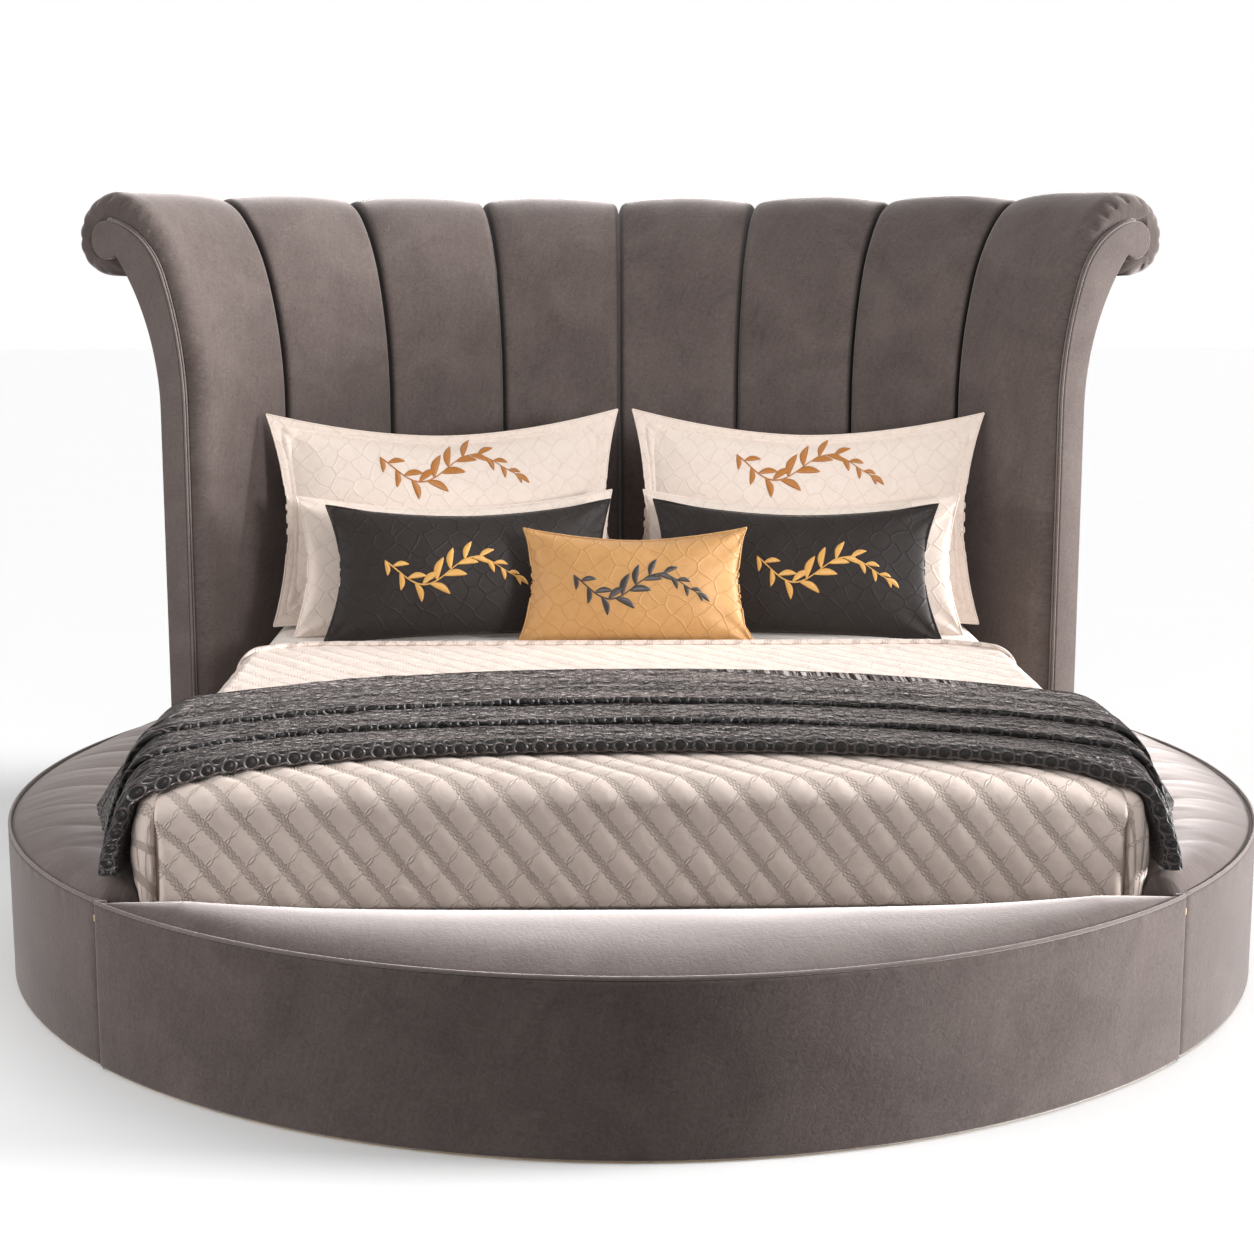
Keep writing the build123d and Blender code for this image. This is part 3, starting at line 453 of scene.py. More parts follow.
def side_pad_shape(side):
    radius = side_radius - pad_setback

    def shape(u, v):
        y = -side_joint + 0.0004 + v * (0.868 + side_joint)
        ring_x = np.sqrt(radius ** 2 - y ** 2)
        crest_x = np.sqrt(np.maximum((crest - 0.0005) ** 2 - (y - arc_y) ** 2, 0))
        blend = np.clip((y - 0.735) / 0.018, 0, 1)
        outer = ring_x * (1 - blend) + crest_x * blend
        width = outer - inner_x - 0.0006
        crown = np.minimum(pad_crown, width * 0.45)
        across, z, swell = pad_ring(u, crown)
        lean = y + (across - 0.5) * y * 0.18
        bend = 0.35 * np.sin(across * 3 + 1)
        ridge = np.abs(np.sin(lean / 0.165 * math.pi + bend)) ** 0.55 - 0.62
        fade = np.clip((0.80 - np.abs(y + 0.05)) / 0.25, 0, 1) * swell ** 0.7
        fine = hash_noise(y * 34, across * 2.2, 7 + side) * 0.0011
        lift = (ridge * 0.0032 + fine) * fade
        x = inner_x + 0.0003 + across * width
        return (side * x, y, z + lift), (y, across * width + z * 0.4)
    return shape


for word, rows, shape in (("front", 240, front_pad_shape), ("left", 300, side_pad_shape(-1)),
                          ("right", 300, side_pad_shape(1))):
    pad = sew_shut(piece_of_cloth(word + "_velvet_pad", 56, rows, shape))
    fit(pad, word + "_pad", velvet)


# Headboard channels: eight foam-filled velvet channels sewn to the bent boards, which roll back
# into a scroll at the top. The seams between them sink into the foam. At the wings the velvet is
# gathered into short pleats where it goes round the scroll's rim.

half_span = math.radians(59.7)
channel_count = 8
channel_step = 2 * half_span / channel_count
flare_start, scroll_z, scroll_r = 1.073, 1.497, 1.500
flare_length, channel_foot, section_step = 0.424, 0.236, 0.0055
channel_width, seam_slit = 0.318, 0.00024


def arc_run(start, heading0, heading1, radius, step, inset=0.0):
    """Points of an arc that bends right, between two headings clockwise from straight up."""
    count = max(3, int(abs(radius * math.radians(heading1 - heading0)) / step))
    radius = radius - inset
    h = np.radians(np.linspace(heading0, heading1, count + 1))
    centre = (start[0] + radius * math.cos(h[0]), start[1] - radius * math.sin(h[0]))
    return np.stack([centre[0] - radius * np.cos(h), centre[1] + radius * np.sin(h)], 1)[1:]


def flare_pair(start, end, headings):
    """Radii of two tangent arcs that join two points and take up three headings."""
    c = [math.cos(math.radians(h)) for h in headings]
    s = [math.sin(math.radians(h)) for h in headings]
    across, up = end[0] - start[0], end[1] - start[1]
    det = (c[0] - c[1]) * (s[2] - s[1]) - (c[1] - c[2]) * (s[1] - s[0])
    first = across * (s[2] - s[1]) - up * (c[1] - c[2])
    second = up * (c[0] - c[1]) - across * (s[1] - s[0])
    return first / det, second / det


def flare(radius, headings, end_radius, inset, bottom, step):
    """Foot line and three bends up to the scroll, as radius and height."""
    bend = flare_length * 2.3
    start = arc_run((radius, flare_start), 0, headings[0], bend, step)[-1]
    a = math.radians(headings[2])
    end = (scroll_r - end_radius * math.cos(a), scroll_z + end_radius * math.sin(a))
    second, third = flare_pair(start, end, headings)
    rows = max(2, int((flare_start - bottom) / (step * 2.5)))
    line = [np.stack([np.full(rows + 1, radius + inset),
                      np.linspace(bottom, flare_start, rows + 1)], 1)]
    for h0, h1, r in ((0, headings[0], bend), (headings[0], headings[1], second),
                      (headings[1], headings[2], third)):
        line.append(arc_run(line[-1][-1], h0, h1, r, step, inset))
    return np.concatenate(line)


def crest_line(inset):
    """The front of the padding from its foot over the scroll to its lip."""
    line = flare(crest, (20, 45, 75), 0.125, inset, channel_foot, section_step)
    over = arc_run(line[-1], 75, 180, 0.125, section_step, inset)
    under = arc_run(over[-1], 180, 270, 0.092, section_step, inset)
    return np.concatenate([line, over, under])


back_radius, back_bend, core_radius = 1.342, 0.640, 0.048
back_centre = (back_radius + back_bend, flare_start)
board_radius, board_turns = 1.268, (20, 50, 80)


def back_notch(bend, reach):
    """Heading at which the back bend meets the scroll's core."""
    across, up = back_centre[0] - scroll_r, scroll_z - flare_start
    distance = math.hypot(across, up)
    between = math.acos((distance ** 2 + bend ** 2 - reach ** 2) / (2 * distance * bend))
    return math.atan2(up, across) - between


def on_back(bend, h):
    """Points of the back bend at headings."""
    return np.stack([back_centre[0] - bend * np.cos(h), back_centre[1] + bend * np.sin(h)], 1)


def on_core(reach, h):
    """Points round the scroll's core at headings."""
    return np.stack([scroll_r - reach * np.cos(h), scroll_z + reach * np.sin(h)], 1)


def core_heading(point):
    """Heading of a point behind the scroll's core, more than half a turn on."""
    return math.atan2(point[1] - scroll_z, scroll_r - point[0]) + 2 * math.pi


def inner_line(lip):
    """From the lip back to the boards, round the scroll core and down to the foot."""
    bend, reach = back_bend - 0.0003, core_radius + 0.0003
    low = math.asin((lip[1] - flare_start) / bend)
    behind = on_back(bend, np.linspace(low, back_notch(bend, reach), 8))
    core = on_core(reach, np.linspace(core_heading(behind[-1]), math.radians(80), 20))
    boards = flare(board_radius, board_turns, core_radius, -0.0003, channel_foot, 0.03)[::-1]
    return np.concatenate([behind, core, boards])


crest_count = len(crest_line(0.0))
crown_drop, seam_sink, end_round = 0.020, 0.026, 0.044


def end_roll(away):
    """How far a wing's padding rolls back this far from its outer edge."""
    near = np.clip(1 - away / end_round, 0, 1)
    rolled = 1 - np.sqrt(np.maximum(1 - near ** 2, 0))
    return end_round * 0.93 * rolled + np.exp(-away / 0.05) * 0.003


def channel_shape(index, lines, insets, inner):
    """Moves a grid round one channel's section and across its width."""
    first = -half_span + index * channel_step + seam_slit / 2
    width = channel_step - seam_slit
    total = crest_count + len(inner) + 1

    def shape(u, v):
        k = np.clip(np.round(u * (total - 1)).astype(int), 0, total - 1)
        # the grid's columns crowd towards the seams
        across = 0.5 - 0.5 * np.cos(v * math.pi)
        across = across * 0.7 + v * 0.3
        inset = 0
        for edge, wing in ((across, index == 0), (1 - across, index == channel_count - 1)):
            inset = inset + (end_roll(edge * channel_width) if wing else
                             np.clip(1 - 2 * edge, 0, 1) ** 2.4 * crown_drop
                             + np.exp(-edge / 0.014) * seam_sink)
        front = k < crest_count
        s = run_of(lines[0])[np.minimum(k, crest_count - 1)]
        # pleats at a wing's outer edge, and faint waves elsewhere
        if index in (0, channel_count - 1):
            metres = (across if index == 0 else 1 - across) * channel_width
            begins = np.clip((s - 0.62) / 0.12, 0, 1)
            scroll = np.clip((s - 1.15) / 0.2, 0, 1)
            pitch = 0.036 + 0.010 * scroll
            phase = (s - 1.15 + metres * 0.35) / pitch + 0.55 * hash_noise(s * 9, s * 0, 5 + index)
            crease = 1 - np.abs(np.sin(phase * math.pi)) ** 0.45
            reach = 0.032 - 0.014 * scroll + 0.005 * hash_noise(s * 21, s * 0, 9 + index)
            fold = crease * np.exp(-(metres / reach) ** 3.0) * np.clip(metres / 0.006, 0.45, 1)
            inset = inset + fold * begins * (0.0034 + 0.0080 * scroll)
        wave = hash_noise(across * 3 + index * 7, s * 4.5, 21) * 0.0014
        wave = wave + hash_noise(across * 8 + index * 3, s * 13, 22) * 0.0005
        inset = inset + (wave + 0.0008) * np.clip(np.minimum(across, 1 - across) / 0.1, 0, 1)
        # between the ready-made lines of each inset
        where = np.clip(inset, 0, insets[-1])
        j = np.clip(np.searchsorted(insets, where) - 1, 0, len(insets) - 2)
        mix = ((where - insets[j]) / (insets[j + 1] - insets[j]))[:, None]
        kk = np.minimum(k, crest_count - 1)
        outer = lines[j, kk] * (1 - mix) + lines[j + 1, kk] * mix
        hidden = inner[np.clip(k - crest_count, 0, len(inner) - 1)]
        start = lines[j, 0] * (1 - mix) + lines[j + 1, 0] * mix
        spot = np.where(front[:, None], outer, hidden)
        spot = np.where((k == total - 1)[:, None], start, spot)
        angle = first + across * width
        x, y = spot[:, 0] * np.sin(angle), arc_y + spot[:, 0] * np.cos(angle)
        reach = crest * (across * width + index * channel_step)
        return (x, y, spot[:, 1]), (reach, np.where(front, s, 2.2))
    return shape, total


insets = np.linspace(0.0, 0.050, 26)
lines = np.stack([crest_line(k) for k in insets])
inner = inner_line(lines[0][-1])
# The channels' velvet has painted shade along its seams
velvet_painted_seam_shade = velvet_of("velvet_channelled_taupe_painted_seam_shade", "#514744", "#6b605c",
                          crest * channel_step)
for index in range(channel_count):
    shape, total = channel_shape(index, lines, insets, inner)
    columns = 84 if index in (0, channel_count - 1) else 56
    name = "velvet_channel_" + str(index + 1)
    padding = sew_shut(piece_of_cloth(name, total - 1, columns, shape))
    fit(padding, "channel_" + str(index + 1), velvet_painted_seam_shade)


# Back cover: the same velvet pulled over the back boards from the floor to the underside of the
# scroll, stapled at its foot. It is plain, with faint pull lines.

def back_shape(u, v):
    bend, foot = back_bend - 0.0033, 0.0045
    top = math.asin((1.4047 - flare_start) / bend)
    straight = flare_start - foot
    s = v * (straight + bend * top)
    h = np.clip((s - straight) / bend, 0, top)
    r = np.where(s < straight, back_centre[0] - bend, back_centre[0] - bend * np.cos(h))
    z = np.where(s < straight, foot + s, flare_start + bend * np.sin(h))
    angle = (u * 2 - 1) * half_span
    edge = np.clip((1 - np.abs(u * 2 - 1)) / 0.03, 0, 1)
    r = r + hash_noise(u * 26, z * 2.5, 31) * 0.0012 * edge
    return (r * np.sin(angle), arc_y + r * np.cos(angle), z), (angle * 1.35, s)


back = thicken(piece_of_cloth("velvet_back_cover", 220, 90, back_shape), 0.0022)
fit(back, "headboard_back_cover", velvet)


# End caps of the wings: velvet over a padded plywood shape that follows the boards and ends in a
# round boss at the scroll, edged at the front with a double piping of the same velvet. The caps'
# velvet is painted a little lighter than the channels' as painted light, and the piping's lighter
# still as a painted highlight.

def cap_outline():
    """The cap's edge as radius and height, once round."""
    foot = 0.0045
    front = flare(board_radius, board_turns, core_radius, 0.0, foot, 0.012)
    notch = back_notch(back_bend, core_radius)
    meets = on_back(back_bend, np.array([notch]))[0]
    core = on_core(core_radius, np.linspace(math.radians(80), core_heading(meets), 34)[1:])
    back = on_back(back_bend, np.linspace(notch, 0, 30)[1:])
    straight = np.array([(back_radius, z) for z in np.linspace(flare_start - 0.02, foot, 54)])
    return np.concatenate([front, core, back, straight])


cap_thickness, cap_gap = 0.014, 0.0003
outline = cap_outline()
for side, word in ((-1, "left"), (1, "right")):
    sine, cosine = math.sin(half_span), math.cos(half_span)
    out = np.array([side * cosine, -sine, 0])
    bpy.ops.object.select_all(action="DESELECT")
    bpy.ops.mesh.primitive_circle_add(vertices=len(outline), radius=1, fill_type="NGON")
    cap = bpy.context.active_object
    cap.name = cap.data.name = "velvet_cap_" + word
    for vertex, (r, z) in zip(cap.data.vertices, outline):
        vertex.co = (side * r * sine, arc_y + r * cosine, z)
    bpy.ops.object.mode_set(mode="EDIT")
    bpy.ops.mesh.select_all(action="SELECT")
    bpy.ops.mesh.extrude_region_move(TRANSFORM_OT_translate={"value": tuple(out * cap_thickness)})
    bpy.ops.object.mode_set(mode="OBJECT")
    for vertex in cap.data.vertices:
        vertex.co = [c + o * cap_gap for c, o in zip(vertex.co, out)]
    round_over = cap.modifiers.new("edge", "BEVEL")
    round_over.width, round_over.segments, round_over.limit_method = 0.0055, 4, "ANGLE"
    round_over.angle_limit = math.radians(60)
    bpy.ops.object.modifier_apply(modifier=round_over.name)
    sew_shut(cap)
    bpy.ops.object.shade_smooth_by_angle(angle=math.radians(40))
    layer = cap.data.uv_layers[0] if cap.data.uv_layers else cap.data.uv_layers.new(name="UVMap")
    for loop in cap.data.loops:
        spot = cap.data.vertices[loop.vertex_index].co
        radius = spot.x * side * sine + (spot.y - arc_y) * cosine
        layer.data[loop.index].uv = (side * radius, spot.z)
    rim = flare(board_radius, board_turns, core_radius, -0.0033, channel_foot, 0.010)
    run = run_of(rim)
    slope = np.gradient(rim, axis=0)
    slope /= np.hypot(slope[:, 0], slope[:, 1])[:, None]

    def piping(u, v, shift, inset, thin):
        s, a = u * run[-1], v * 2 * math.pi
        nr, nz = np.interp(s, run, -slope[:, 1]), np.interp(s, run, slope[:, 0])
        radius = thin + 0.00012 * np.sin(s / 0.0019 + a)
        ahead = radius * np.cos(a) + inset
        r, z = np.interp(s, run, rim[:, 0]) + nr * ahead, np.interp(s, run, rim[:, 1]) + nz * ahead
        aside = shift + radius * np.sin(a)
        x, y = side * r * sine + out[0] * aside, arc_y + r * cosine + out[1] * aside
        return (x, y, z), (s, v * 0.018)

    pair = [sew_shut(piece_of_cloth("velvet_piping_" + word, 240, 10,
                                    lambda u, v: piping(u, v, shift, inset, thin)))
            for shift, inset, thin in ((0.0113, 0.0, 0.0030), (0.0042, 0.0022, 0.0026))]
    fit(cap, "headboard_cap_" + word, cap_velvet_painted_light)
    # the pipings take the lighter cord velvet, a painted highlight
    fit(join(pair), "headboard_piping_" + word, cord_velvet_painted_highlight)


# Mattress and fitted sheet: a sprung mattress in woven ticking, shaped to the headboard, in a plain
# cotton sateen sheet that is tucked under its edge. Only the sheet shows, behind the coverlet.

mattress_half, mattress_front = 0.895, -0.875
mattress_head = crest - 0.012


def bed_outline(offset, rounding):
    """The bed's outline from above, grown by an offset, as a closed path."""
    x, front, radius = mattress_half + offset, mattress_front - offset, mattress_head + offset
    last = math.asin(x / radius)
    a = np.linspace(last, -last, 120)
    head = [(radius * math.sin(k), arc_y + radius * math.cos(k)) for k in a]
    return soft_path([(0.0, front), (x, front)] + head + [(-x, front), (0.0, front)], rounding)


def corner_drop(x, y, z):
    """How far the bedding's top gives way near the two front corners."""
    away = np.hypot(np.maximum(0.872 - np.abs(x), 0), np.maximum(y + 0.846, 0))
    share = np.clip((z - 0.36) / 0.14, 0, 1)
    return 0.030 * np.exp(-away / 0.085) * share * share * (3 - 2 * share)


def tucked(offset, top, bottom, edge, rounding):
    """A cloth that covers the bed's top and hangs down its sides, as rings from the middle out."""
    path, run = bed_outline(offset, rounding)
    inside, inside_run = bed_outline(offset - edge, rounding)
    # shares of the rings where the bed's top ends and where its side begins
    flat_end, turn_end = 0.5, 0.7

    def shape(u, v):
        ox, oy = along_path(path, run, u * run[-1])
        ix, iy = (np.interp(u * inside_run[-1], inside_run, inside[:, k]) for k in (0, 1))
        flat = np.clip(v / flat_end, 0, 1)
        turn = np.clip((v - flat_end) / (turn_end - flat_end), 0, 1) * math.pi / 2
        fall = np.clip((v - turn_end) / (1 - turn_end), 0, 1)
        x = ix * flat + (ox - ix) * np.sin(turn)
        y = arc_y + (iy - arc_y) * flat + (oy - iy) * np.sin(turn)
        z = top - edge * (1 - np.cos(turn)) - (top - edge - bottom) * fall
        return (x, y, z - corner_drop(x, y, z)), (x, y - (top - z) * np.sign(y + 0.5))
    return shape


cotton = mottled("cotton_sateen_cream",
                 {"Roughness": 0.7, "Sheen Weight": 0.2, "Sheen Roughness": 0.4},
                 "TexNoise", {"Scale": 14.0, "Detail": 4.0}, "#e2d3c8", "#f1e8e0", (0.4, 0.006))
ticking = mottled("ticking_woven_white", {"Roughness": 0.8},
                  "TexWave", {"Scale": 90.0, "Distortion": 1.0}, "#dcd8d0", "#f0ede6", (0.3, 0.001))

core = sew_shut(piece_of_cloth("sprung_mattress", 300, 44, tucked(0.0, 0.516, 0.2403, 0.04, 0.03)))
fit(core, "mattress", ticking)
cotton_cover = piece_of_cloth("cotton_fitted_sheet", 300, 44,
                              tucked(0.0019, 0.5183, 0.282, 0.042, 0.03))
thicken(sew_shut(cotton_cover, close_ends=False), 0.0012)
fit(cotton_cover, "fitted_sheet", cotton)


# Coverlet: cream cotton sateen quilted to a wadding, in diamonds. Strong double chain-stitch rows
# slant one way and thin single ones cross them. It falls over the front and sides onto the pads,
# with an open pleat at each front corner and a gathered binding along its head edge.

quilt_top, quilt_edge = 0.5320, 0.046
quilt_front = -0.8916
side_slope, side_edge = math.radians(2.4), 0.036
front_bend_y = quilt_front + quilt_edge
side_bend_x = 0.9116 - side_edge / math.tan((math.pi / 2 + side_slope) / 2)
slit_x, hem_lift = 0.872, 0.0015
head_y, head_corner, head_corner_x = 0.518, 0.190, 0.729
slant_angle, row_gap = math.radians(52), 0.0715


def pad_height(x, y):
    """Height of the pads' tops under the coverlet's hem."""
    x, y = np.abs(x), np.asarray(y)
    in_front = y < -(front_joint + side_joint) / 2
    front_depth = np.sqrt(np.maximum((base_radius - pad_setback) ** 2 - x ** 2, 0)) - front_joint
    side_width = np.sqrt(np.maximum((side_radius - pad_setback) ** 2 - y ** 2, 0)) - inner_x
    depth = np.where(in_front, front_depth, side_width)
    reach = np.where(in_front, -y - front_joint, x - inner_x)
    t = np.clip(reach / np.maximum(depth, 0.02), 0, 1)
    crown = np.minimum(pad_crown, depth * 0.45)
    side = pad_seam + crown * crowned(t)
    top = np.where(in_front, front_pad_top(t, np.maximum(depth, 0.02)), side)
    return np.where(reach > 0, top, pad_seam - 0.02)


def head_edge(x):
    """Where the coverlet's head edge lies at a given x."""
    beyond = np.clip(np.abs(x) - head_corner_x, 0, head_corner)
    return head_y - head_corner + np.sqrt(head_corner ** 2 - beyond ** 2)


def quilting(a, b):
    """Relief of the quilting at cloth coordinates a across and b along."""
    spacing = row_gap * math.sin(slant_angle)
    p = a * math.sin(slant_angle) + b * math.cos(slant_angle)
    q = a * math.sin(slant_angle) - b * math.cos(slant_angle)
    strong = np.abs(p / spacing - np.round(p / spacing)) * spacing
    thin = np.abs(q / spacing - np.round(q / spacing)) * spacing
    valley = np.exp(-(strong / 0.0105) ** 2)
    dimple = 0.20 * np.exp(-(thin / 0.0050) ** 2)
    puff = np.clip(2 * strong / spacing, 0, 1) ** 0.35 * (1 - valley) * (1 - dimple)
    pull = hash_noise(p * 40, q * 75, 41) * 0.0007 + hash_noise(a * 17, b * 17, 42) * 0.0011
    pressed = 1 - 0.75 * np.clip((b - 0.30) / 0.35, 0, 1)
    return puff * 0.0028 * pressed - 0.0014 + pull * puff


drop_s, bend_s = np.linspace(0, 1, 30), np.linspace(0, 1, 12)[1:]
top_s = np.concatenate([np.linspace(0, 0.25, 58)[1:], np.linspace(0.25, 1, 66)[1:]])
front_rows = len(drop_s) + len(bend_s) + len(top_s) - 1


def quilt_middle(u, v):
    """The coverlet between its front corners, from the front hem up and back to the head edge."""
    k = np.clip(np.round(v * front_rows).astype(int), 0, front_rows)
    x = (u * 2 - 1) * slit_x
    nd, nb = len(drop_s), len(bend_s)
    on_drop, on_bend = k < nd, (k >= nd) & (k < nd + nb)
    share = drop_s[np.minimum(k, nd - 1)]
    turn = (1 - bend_s[np.clip(k - nd, 0, nb - 1)]) * math.pi / 2
    reach = top_s[np.clip(k - nd - nb, 0, len(top_s) - 1)]
    low = pad_height(x, np.full_like(x, quilt_front)) + hem_lift
    high = quilt_top - quilt_edge
    z = np.where(on_drop, low + (high - low) * share,
                 np.where(on_bend, high + quilt_edge * np.cos(turn), quilt_top))
    y = np.where(on_drop, quilt_front, np.where(on_bend, front_bend_y - quilt_edge * np.sin(turn),
                 front_bend_y + (head_edge(x) - front_bend_y) * reach))
    b = np.where(on_drop, z - high - quilt_edge * math.pi / 2,
                 np.where(on_bend, -quilt_edge * turn, y - front_bend_y))
    lift = quilting(x, b)
    near = slit_x - np.abs(x)
    slit = np.clip((high + 0.004 - z) / 0.03, 0, 1) * (on_drop | on_bend)
    roll = np.exp(-(near / 0.0075) ** 2) * slit
    lift = lift * (1 - roll) - roll * 0.010
    x = x - np.sign(x) * 0.0024 * roll * (near < 0.004)
    # rest on the wadding: the hem rolls under, and the head edge thins to the binding
    hem = np.where(on_drop, np.exp(-(z - low) / 0.006), 0)
    lift = lift * (1 - hem) - hem * 0.004
    normal_y = np.where(on_drop, -1, np.where(on_bend, -np.sin(turn), 0))
    normal_z = np.where(on_drop, 0, np.where(on_bend, np.cos(turn), 1))
    sag = np.where(on_drop, hash_noise(x * 6, z * 9, 43) * 0.002 * (1 - roll), 0)
    y, z = y + normal_y * (lift + sag), z + normal_z * lift
    return (x, y, z - corner_drop(x, y, z)), (x, b)


flat_len = side_bend_x - slit_x
side_bends, side_drops = 12, 26
side_columns = 2 + side_bends + side_drops
corner_rows, side_rows = 14, len(top_s) + 1


def quilt_side(side):
    """One side's fall, from the slit at its front corner round to the head edge."""
    def shape(u, v):
        k = np.round(u * side_columns).astype(int)
        j = np.round(v * (corner_rows + side_rows - 1)).astype(int)
        around = np.clip((corner_rows - j) / corner_rows, 0, 1) * math.pi / 2
        reach = np.concatenate([[0], top_s])[np.clip(j - corner_rows, 0, side_rows - 1)]
        flat = flat_len * np.cos(around) * np.clip(k / 2, 0, 1)
        full_turn = math.pi / 2 - side_slope * np.cos(around)
        turn = np.clip((k - 2) / side_bends, 0, 1) * full_turn
        share = np.clip((k - 2 - side_bends) / side_drops, 0, 1)
        out = flat + side_edge * np.sin(turn)
        z = quilt_top - side_edge * (1 - np.cos(turn))
        cx, cy = np.cos(around), -np.sin(around)
        # how far down the slope the pad is, found by stepping
        low = np.full_like(out, 0.33)
        slope = np.tan(side_slope * np.cos(around))
        straight = j >= corner_rows
        for _ in range(4):
            foot = out + (z - low) * slope
            px = slit_x + cx * foot
            py = front_bend_y + np.where(straight, (head_edge(px) - front_bend_y) * reach, cy * foot)
            low = pad_height(px, py) + hem_lift
        fall = (z - low) * share
        down = np.where(share > 0, fall, 0)
        s_out = out + down * slope
        x = slit_x + cx * s_out
        y = front_bend_y + np.where(straight, (head_edge(x) - front_bend_y) * reach, cy * s_out)
        height = z - down
        travel = flat + side_edge * turn + down
        a = np.where(straight, slit_x + travel, slit_x + travel * cx + (1 - cx) * 0.02)
        b = np.where(straight, y - front_bend_y, -travel * (1 - cx) - 0.03 * cx * np.sin(around))
        lift = quilting(side * a, b) * np.where(straight, 1, 0.55)
        drop_on = np.clip((quilt_top - side_edge + 0.004 - height) / 0.03, 0, 1)
        near = np.clip(j, 0, 6) / 6 * 0.030
        roll = np.exp(-(near / 0.006) ** 2) * drop_on
        bulge = np.exp(-np.clip(reach * 1.36 - 0.05, 0, 2) / 0.12) * np.sin(share * math.pi) * 0.007
        ease = (share > 0) * hash_noise(y * 5, height * 6, 44 + side) * 0.0025 * (1 - roll)
        lift = (lift + bulge + ease) * (1 - roll) - roll * 0.010
        hem = np.where(share > 0, np.exp(-(height - low) / 0.006), 0)
        lift = lift * (1 - hem) - hem * 0.004
        tilt = np.where(share > 0, full_turn, turn)
        x = x + cx * np.sin(tilt) * lift
        y = y + cy * np.sin(tilt) * lift
        x = x + 0.0026 * roll * (j == 0)
        z = height + np.cos(tilt) * lift
        return (side * x, y, z - corner_drop(x, y, z)), (side * a, b)
    return shape


sateen, tree, shader = finish_of("cotton_sateen_quilted", {
    "Roughness": 0.62, "Sheen Weight": 0.25, "Sheen Roughness": 0.4,
    "Sheen Tint": linear("#fff3ea")})
cloth = add(tree, "UVMap", {"uv_map": "UVMap"})


def chain_rows(angle, rows, reach, link):
    """Height of rows of chain stitch that slant across the quilt: rows is how many lie abreast."""
    turned = add(tree, "VectorRotate", {"rotation_type": "Z_AXIS", "Vector": cloth.outputs[0],
                                        "Angle": angle})
    axes = add(tree, "SeparateXYZ", {"Vector": turned.outputs[0]})
    spacing = row_gap * math.sin(slant_angle)
    off = add(tree, "Math", {"operation": "PINGPONG", 0: axes.outputs[0], 1: spacing / 2})
    swing = add(tree, "Math", {"operation": "MULTIPLY", 0: axes.outputs[1], 1: math.pi / link})
    wave = add(tree, "Math", {"operation": "SINE", 0: swing.outputs[0]})
    size = add(tree, "Math", {"operation": "ABSOLUTE", 0: wave.outputs[0]})
    loop = add(tree, "Math", {"operation": "MULTIPLY", 0: size.outputs[0], 1: reach})
    if rows == 2:
        shifted = add(tree, "Math", {"operation": "SUBTRACT", 0: off.outputs[0], 1: reach * 1.15})
        off = add(tree, "Math", {"operation": "ABSOLUTE", 0: shifted.outputs[0]})
    gap = add(tree, "Math", {"operation": "SUBTRACT", 0: off.outputs[0], 1: loop.outputs[0]})
    away = add(tree, "Math", {"operation": "ABSOLUTE", 0: gap.outputs[0]})
    return add(tree, "MapRange", {"interpolation_type": "SMOOTHSTEP", "Value": away.outputs[0],
                                  "From Min": 0.0004, "From Max": 0.0024,
                                  "To Min": 1.0, "To Max": 0.0})


# Rotating a cloth by this angle puts a row's own direction on Y
strong = chain_rows(-(math.pi / 2 - slant_angle), 2, 0.0030, 0.0125)
thin = chain_rows(math.pi / 2 - slant_angle, 1, 0.0034, 0.0250)
faint = add(tree, "Math", {"operation": "MULTIPLY", 0: thin.outputs[0], 1: 0.6})
thread = add(tree, "Math", {"operation": "MAXIMUM", 0: strong.outputs[0], 1: faint.outputs[0]})
# Towards the head the cover lies pressed flat, and its stitches sink in
length = add(tree, "SeparateXYZ", {"Vector": cloth.outputs[0]})
pressed = add(tree, "MapRange", {"Value": length.outputs[1], "From Min": 0.30, "From Max": 0.65,
                                 "To Min": 1.0, "To Max": 0.3})
stitch_relief_and_painted_shade = add(tree, "Math", {"operation": "MULTIPLY", 0: thread.outputs[0], 1: pressed.outputs[0]})
weave = add(tree, "TexNoise", {"Vector": cloth.outputs[0], "Scale": 420.0, "Detail": 2.0})
crease = add(tree, "TexNoise", {"Vector": cloth.outputs[0], "Scale": 38.0, "Detail": 4.0,
                                "Distortion": 0.8})
relief = add(tree, "Bump", {"Height": crease.outputs[0], "Strength": 0.35, "Distance": 0.004})
stitches = add(tree, "Bump", {"Height": stitch_relief_and_painted_shade.outputs[0], "Strength": 1.0, "Distance": 0.0026,
                              "Normal": relief.outputs[0]})
threads = add(tree, "Bump", {"Height": weave.outputs[0], "Strength": 0.25, "Distance": 0.0006,
                             "Normal": stitches.outputs[0]})
ground = add(tree, "Mix", {"data_type": "RGBA", 0: crease.outputs[0], 6: linear("#d4c2b7"),
                           7: linear("#e3d3ca")})
# The stitch rows are painted a shade darker than the cloth: painted shade along the chain stitching
tone = add(tree, "Mix", {"data_type": "RGBA", 0: stitch_relief_and_painted_shade.outputs[0], 6: ground.outputs[2],
                         7: linear("#cfbdb1")})
wire(tree, shader, tone, threads)

parts = [piece_of_cloth("quilted_coverlet", 270, front_rows, quilt_middle)]
for side in (-1, 1):
    parts.append(piece_of_cloth("quilt_side", side_columns, corner_rows + side_rows - 1,
                                quilt_side(side)))
coverlet = sew_shut(join(parts), 0.0003, close_ends=False)
thicken(coverlet, 0.007, rim_only=True)


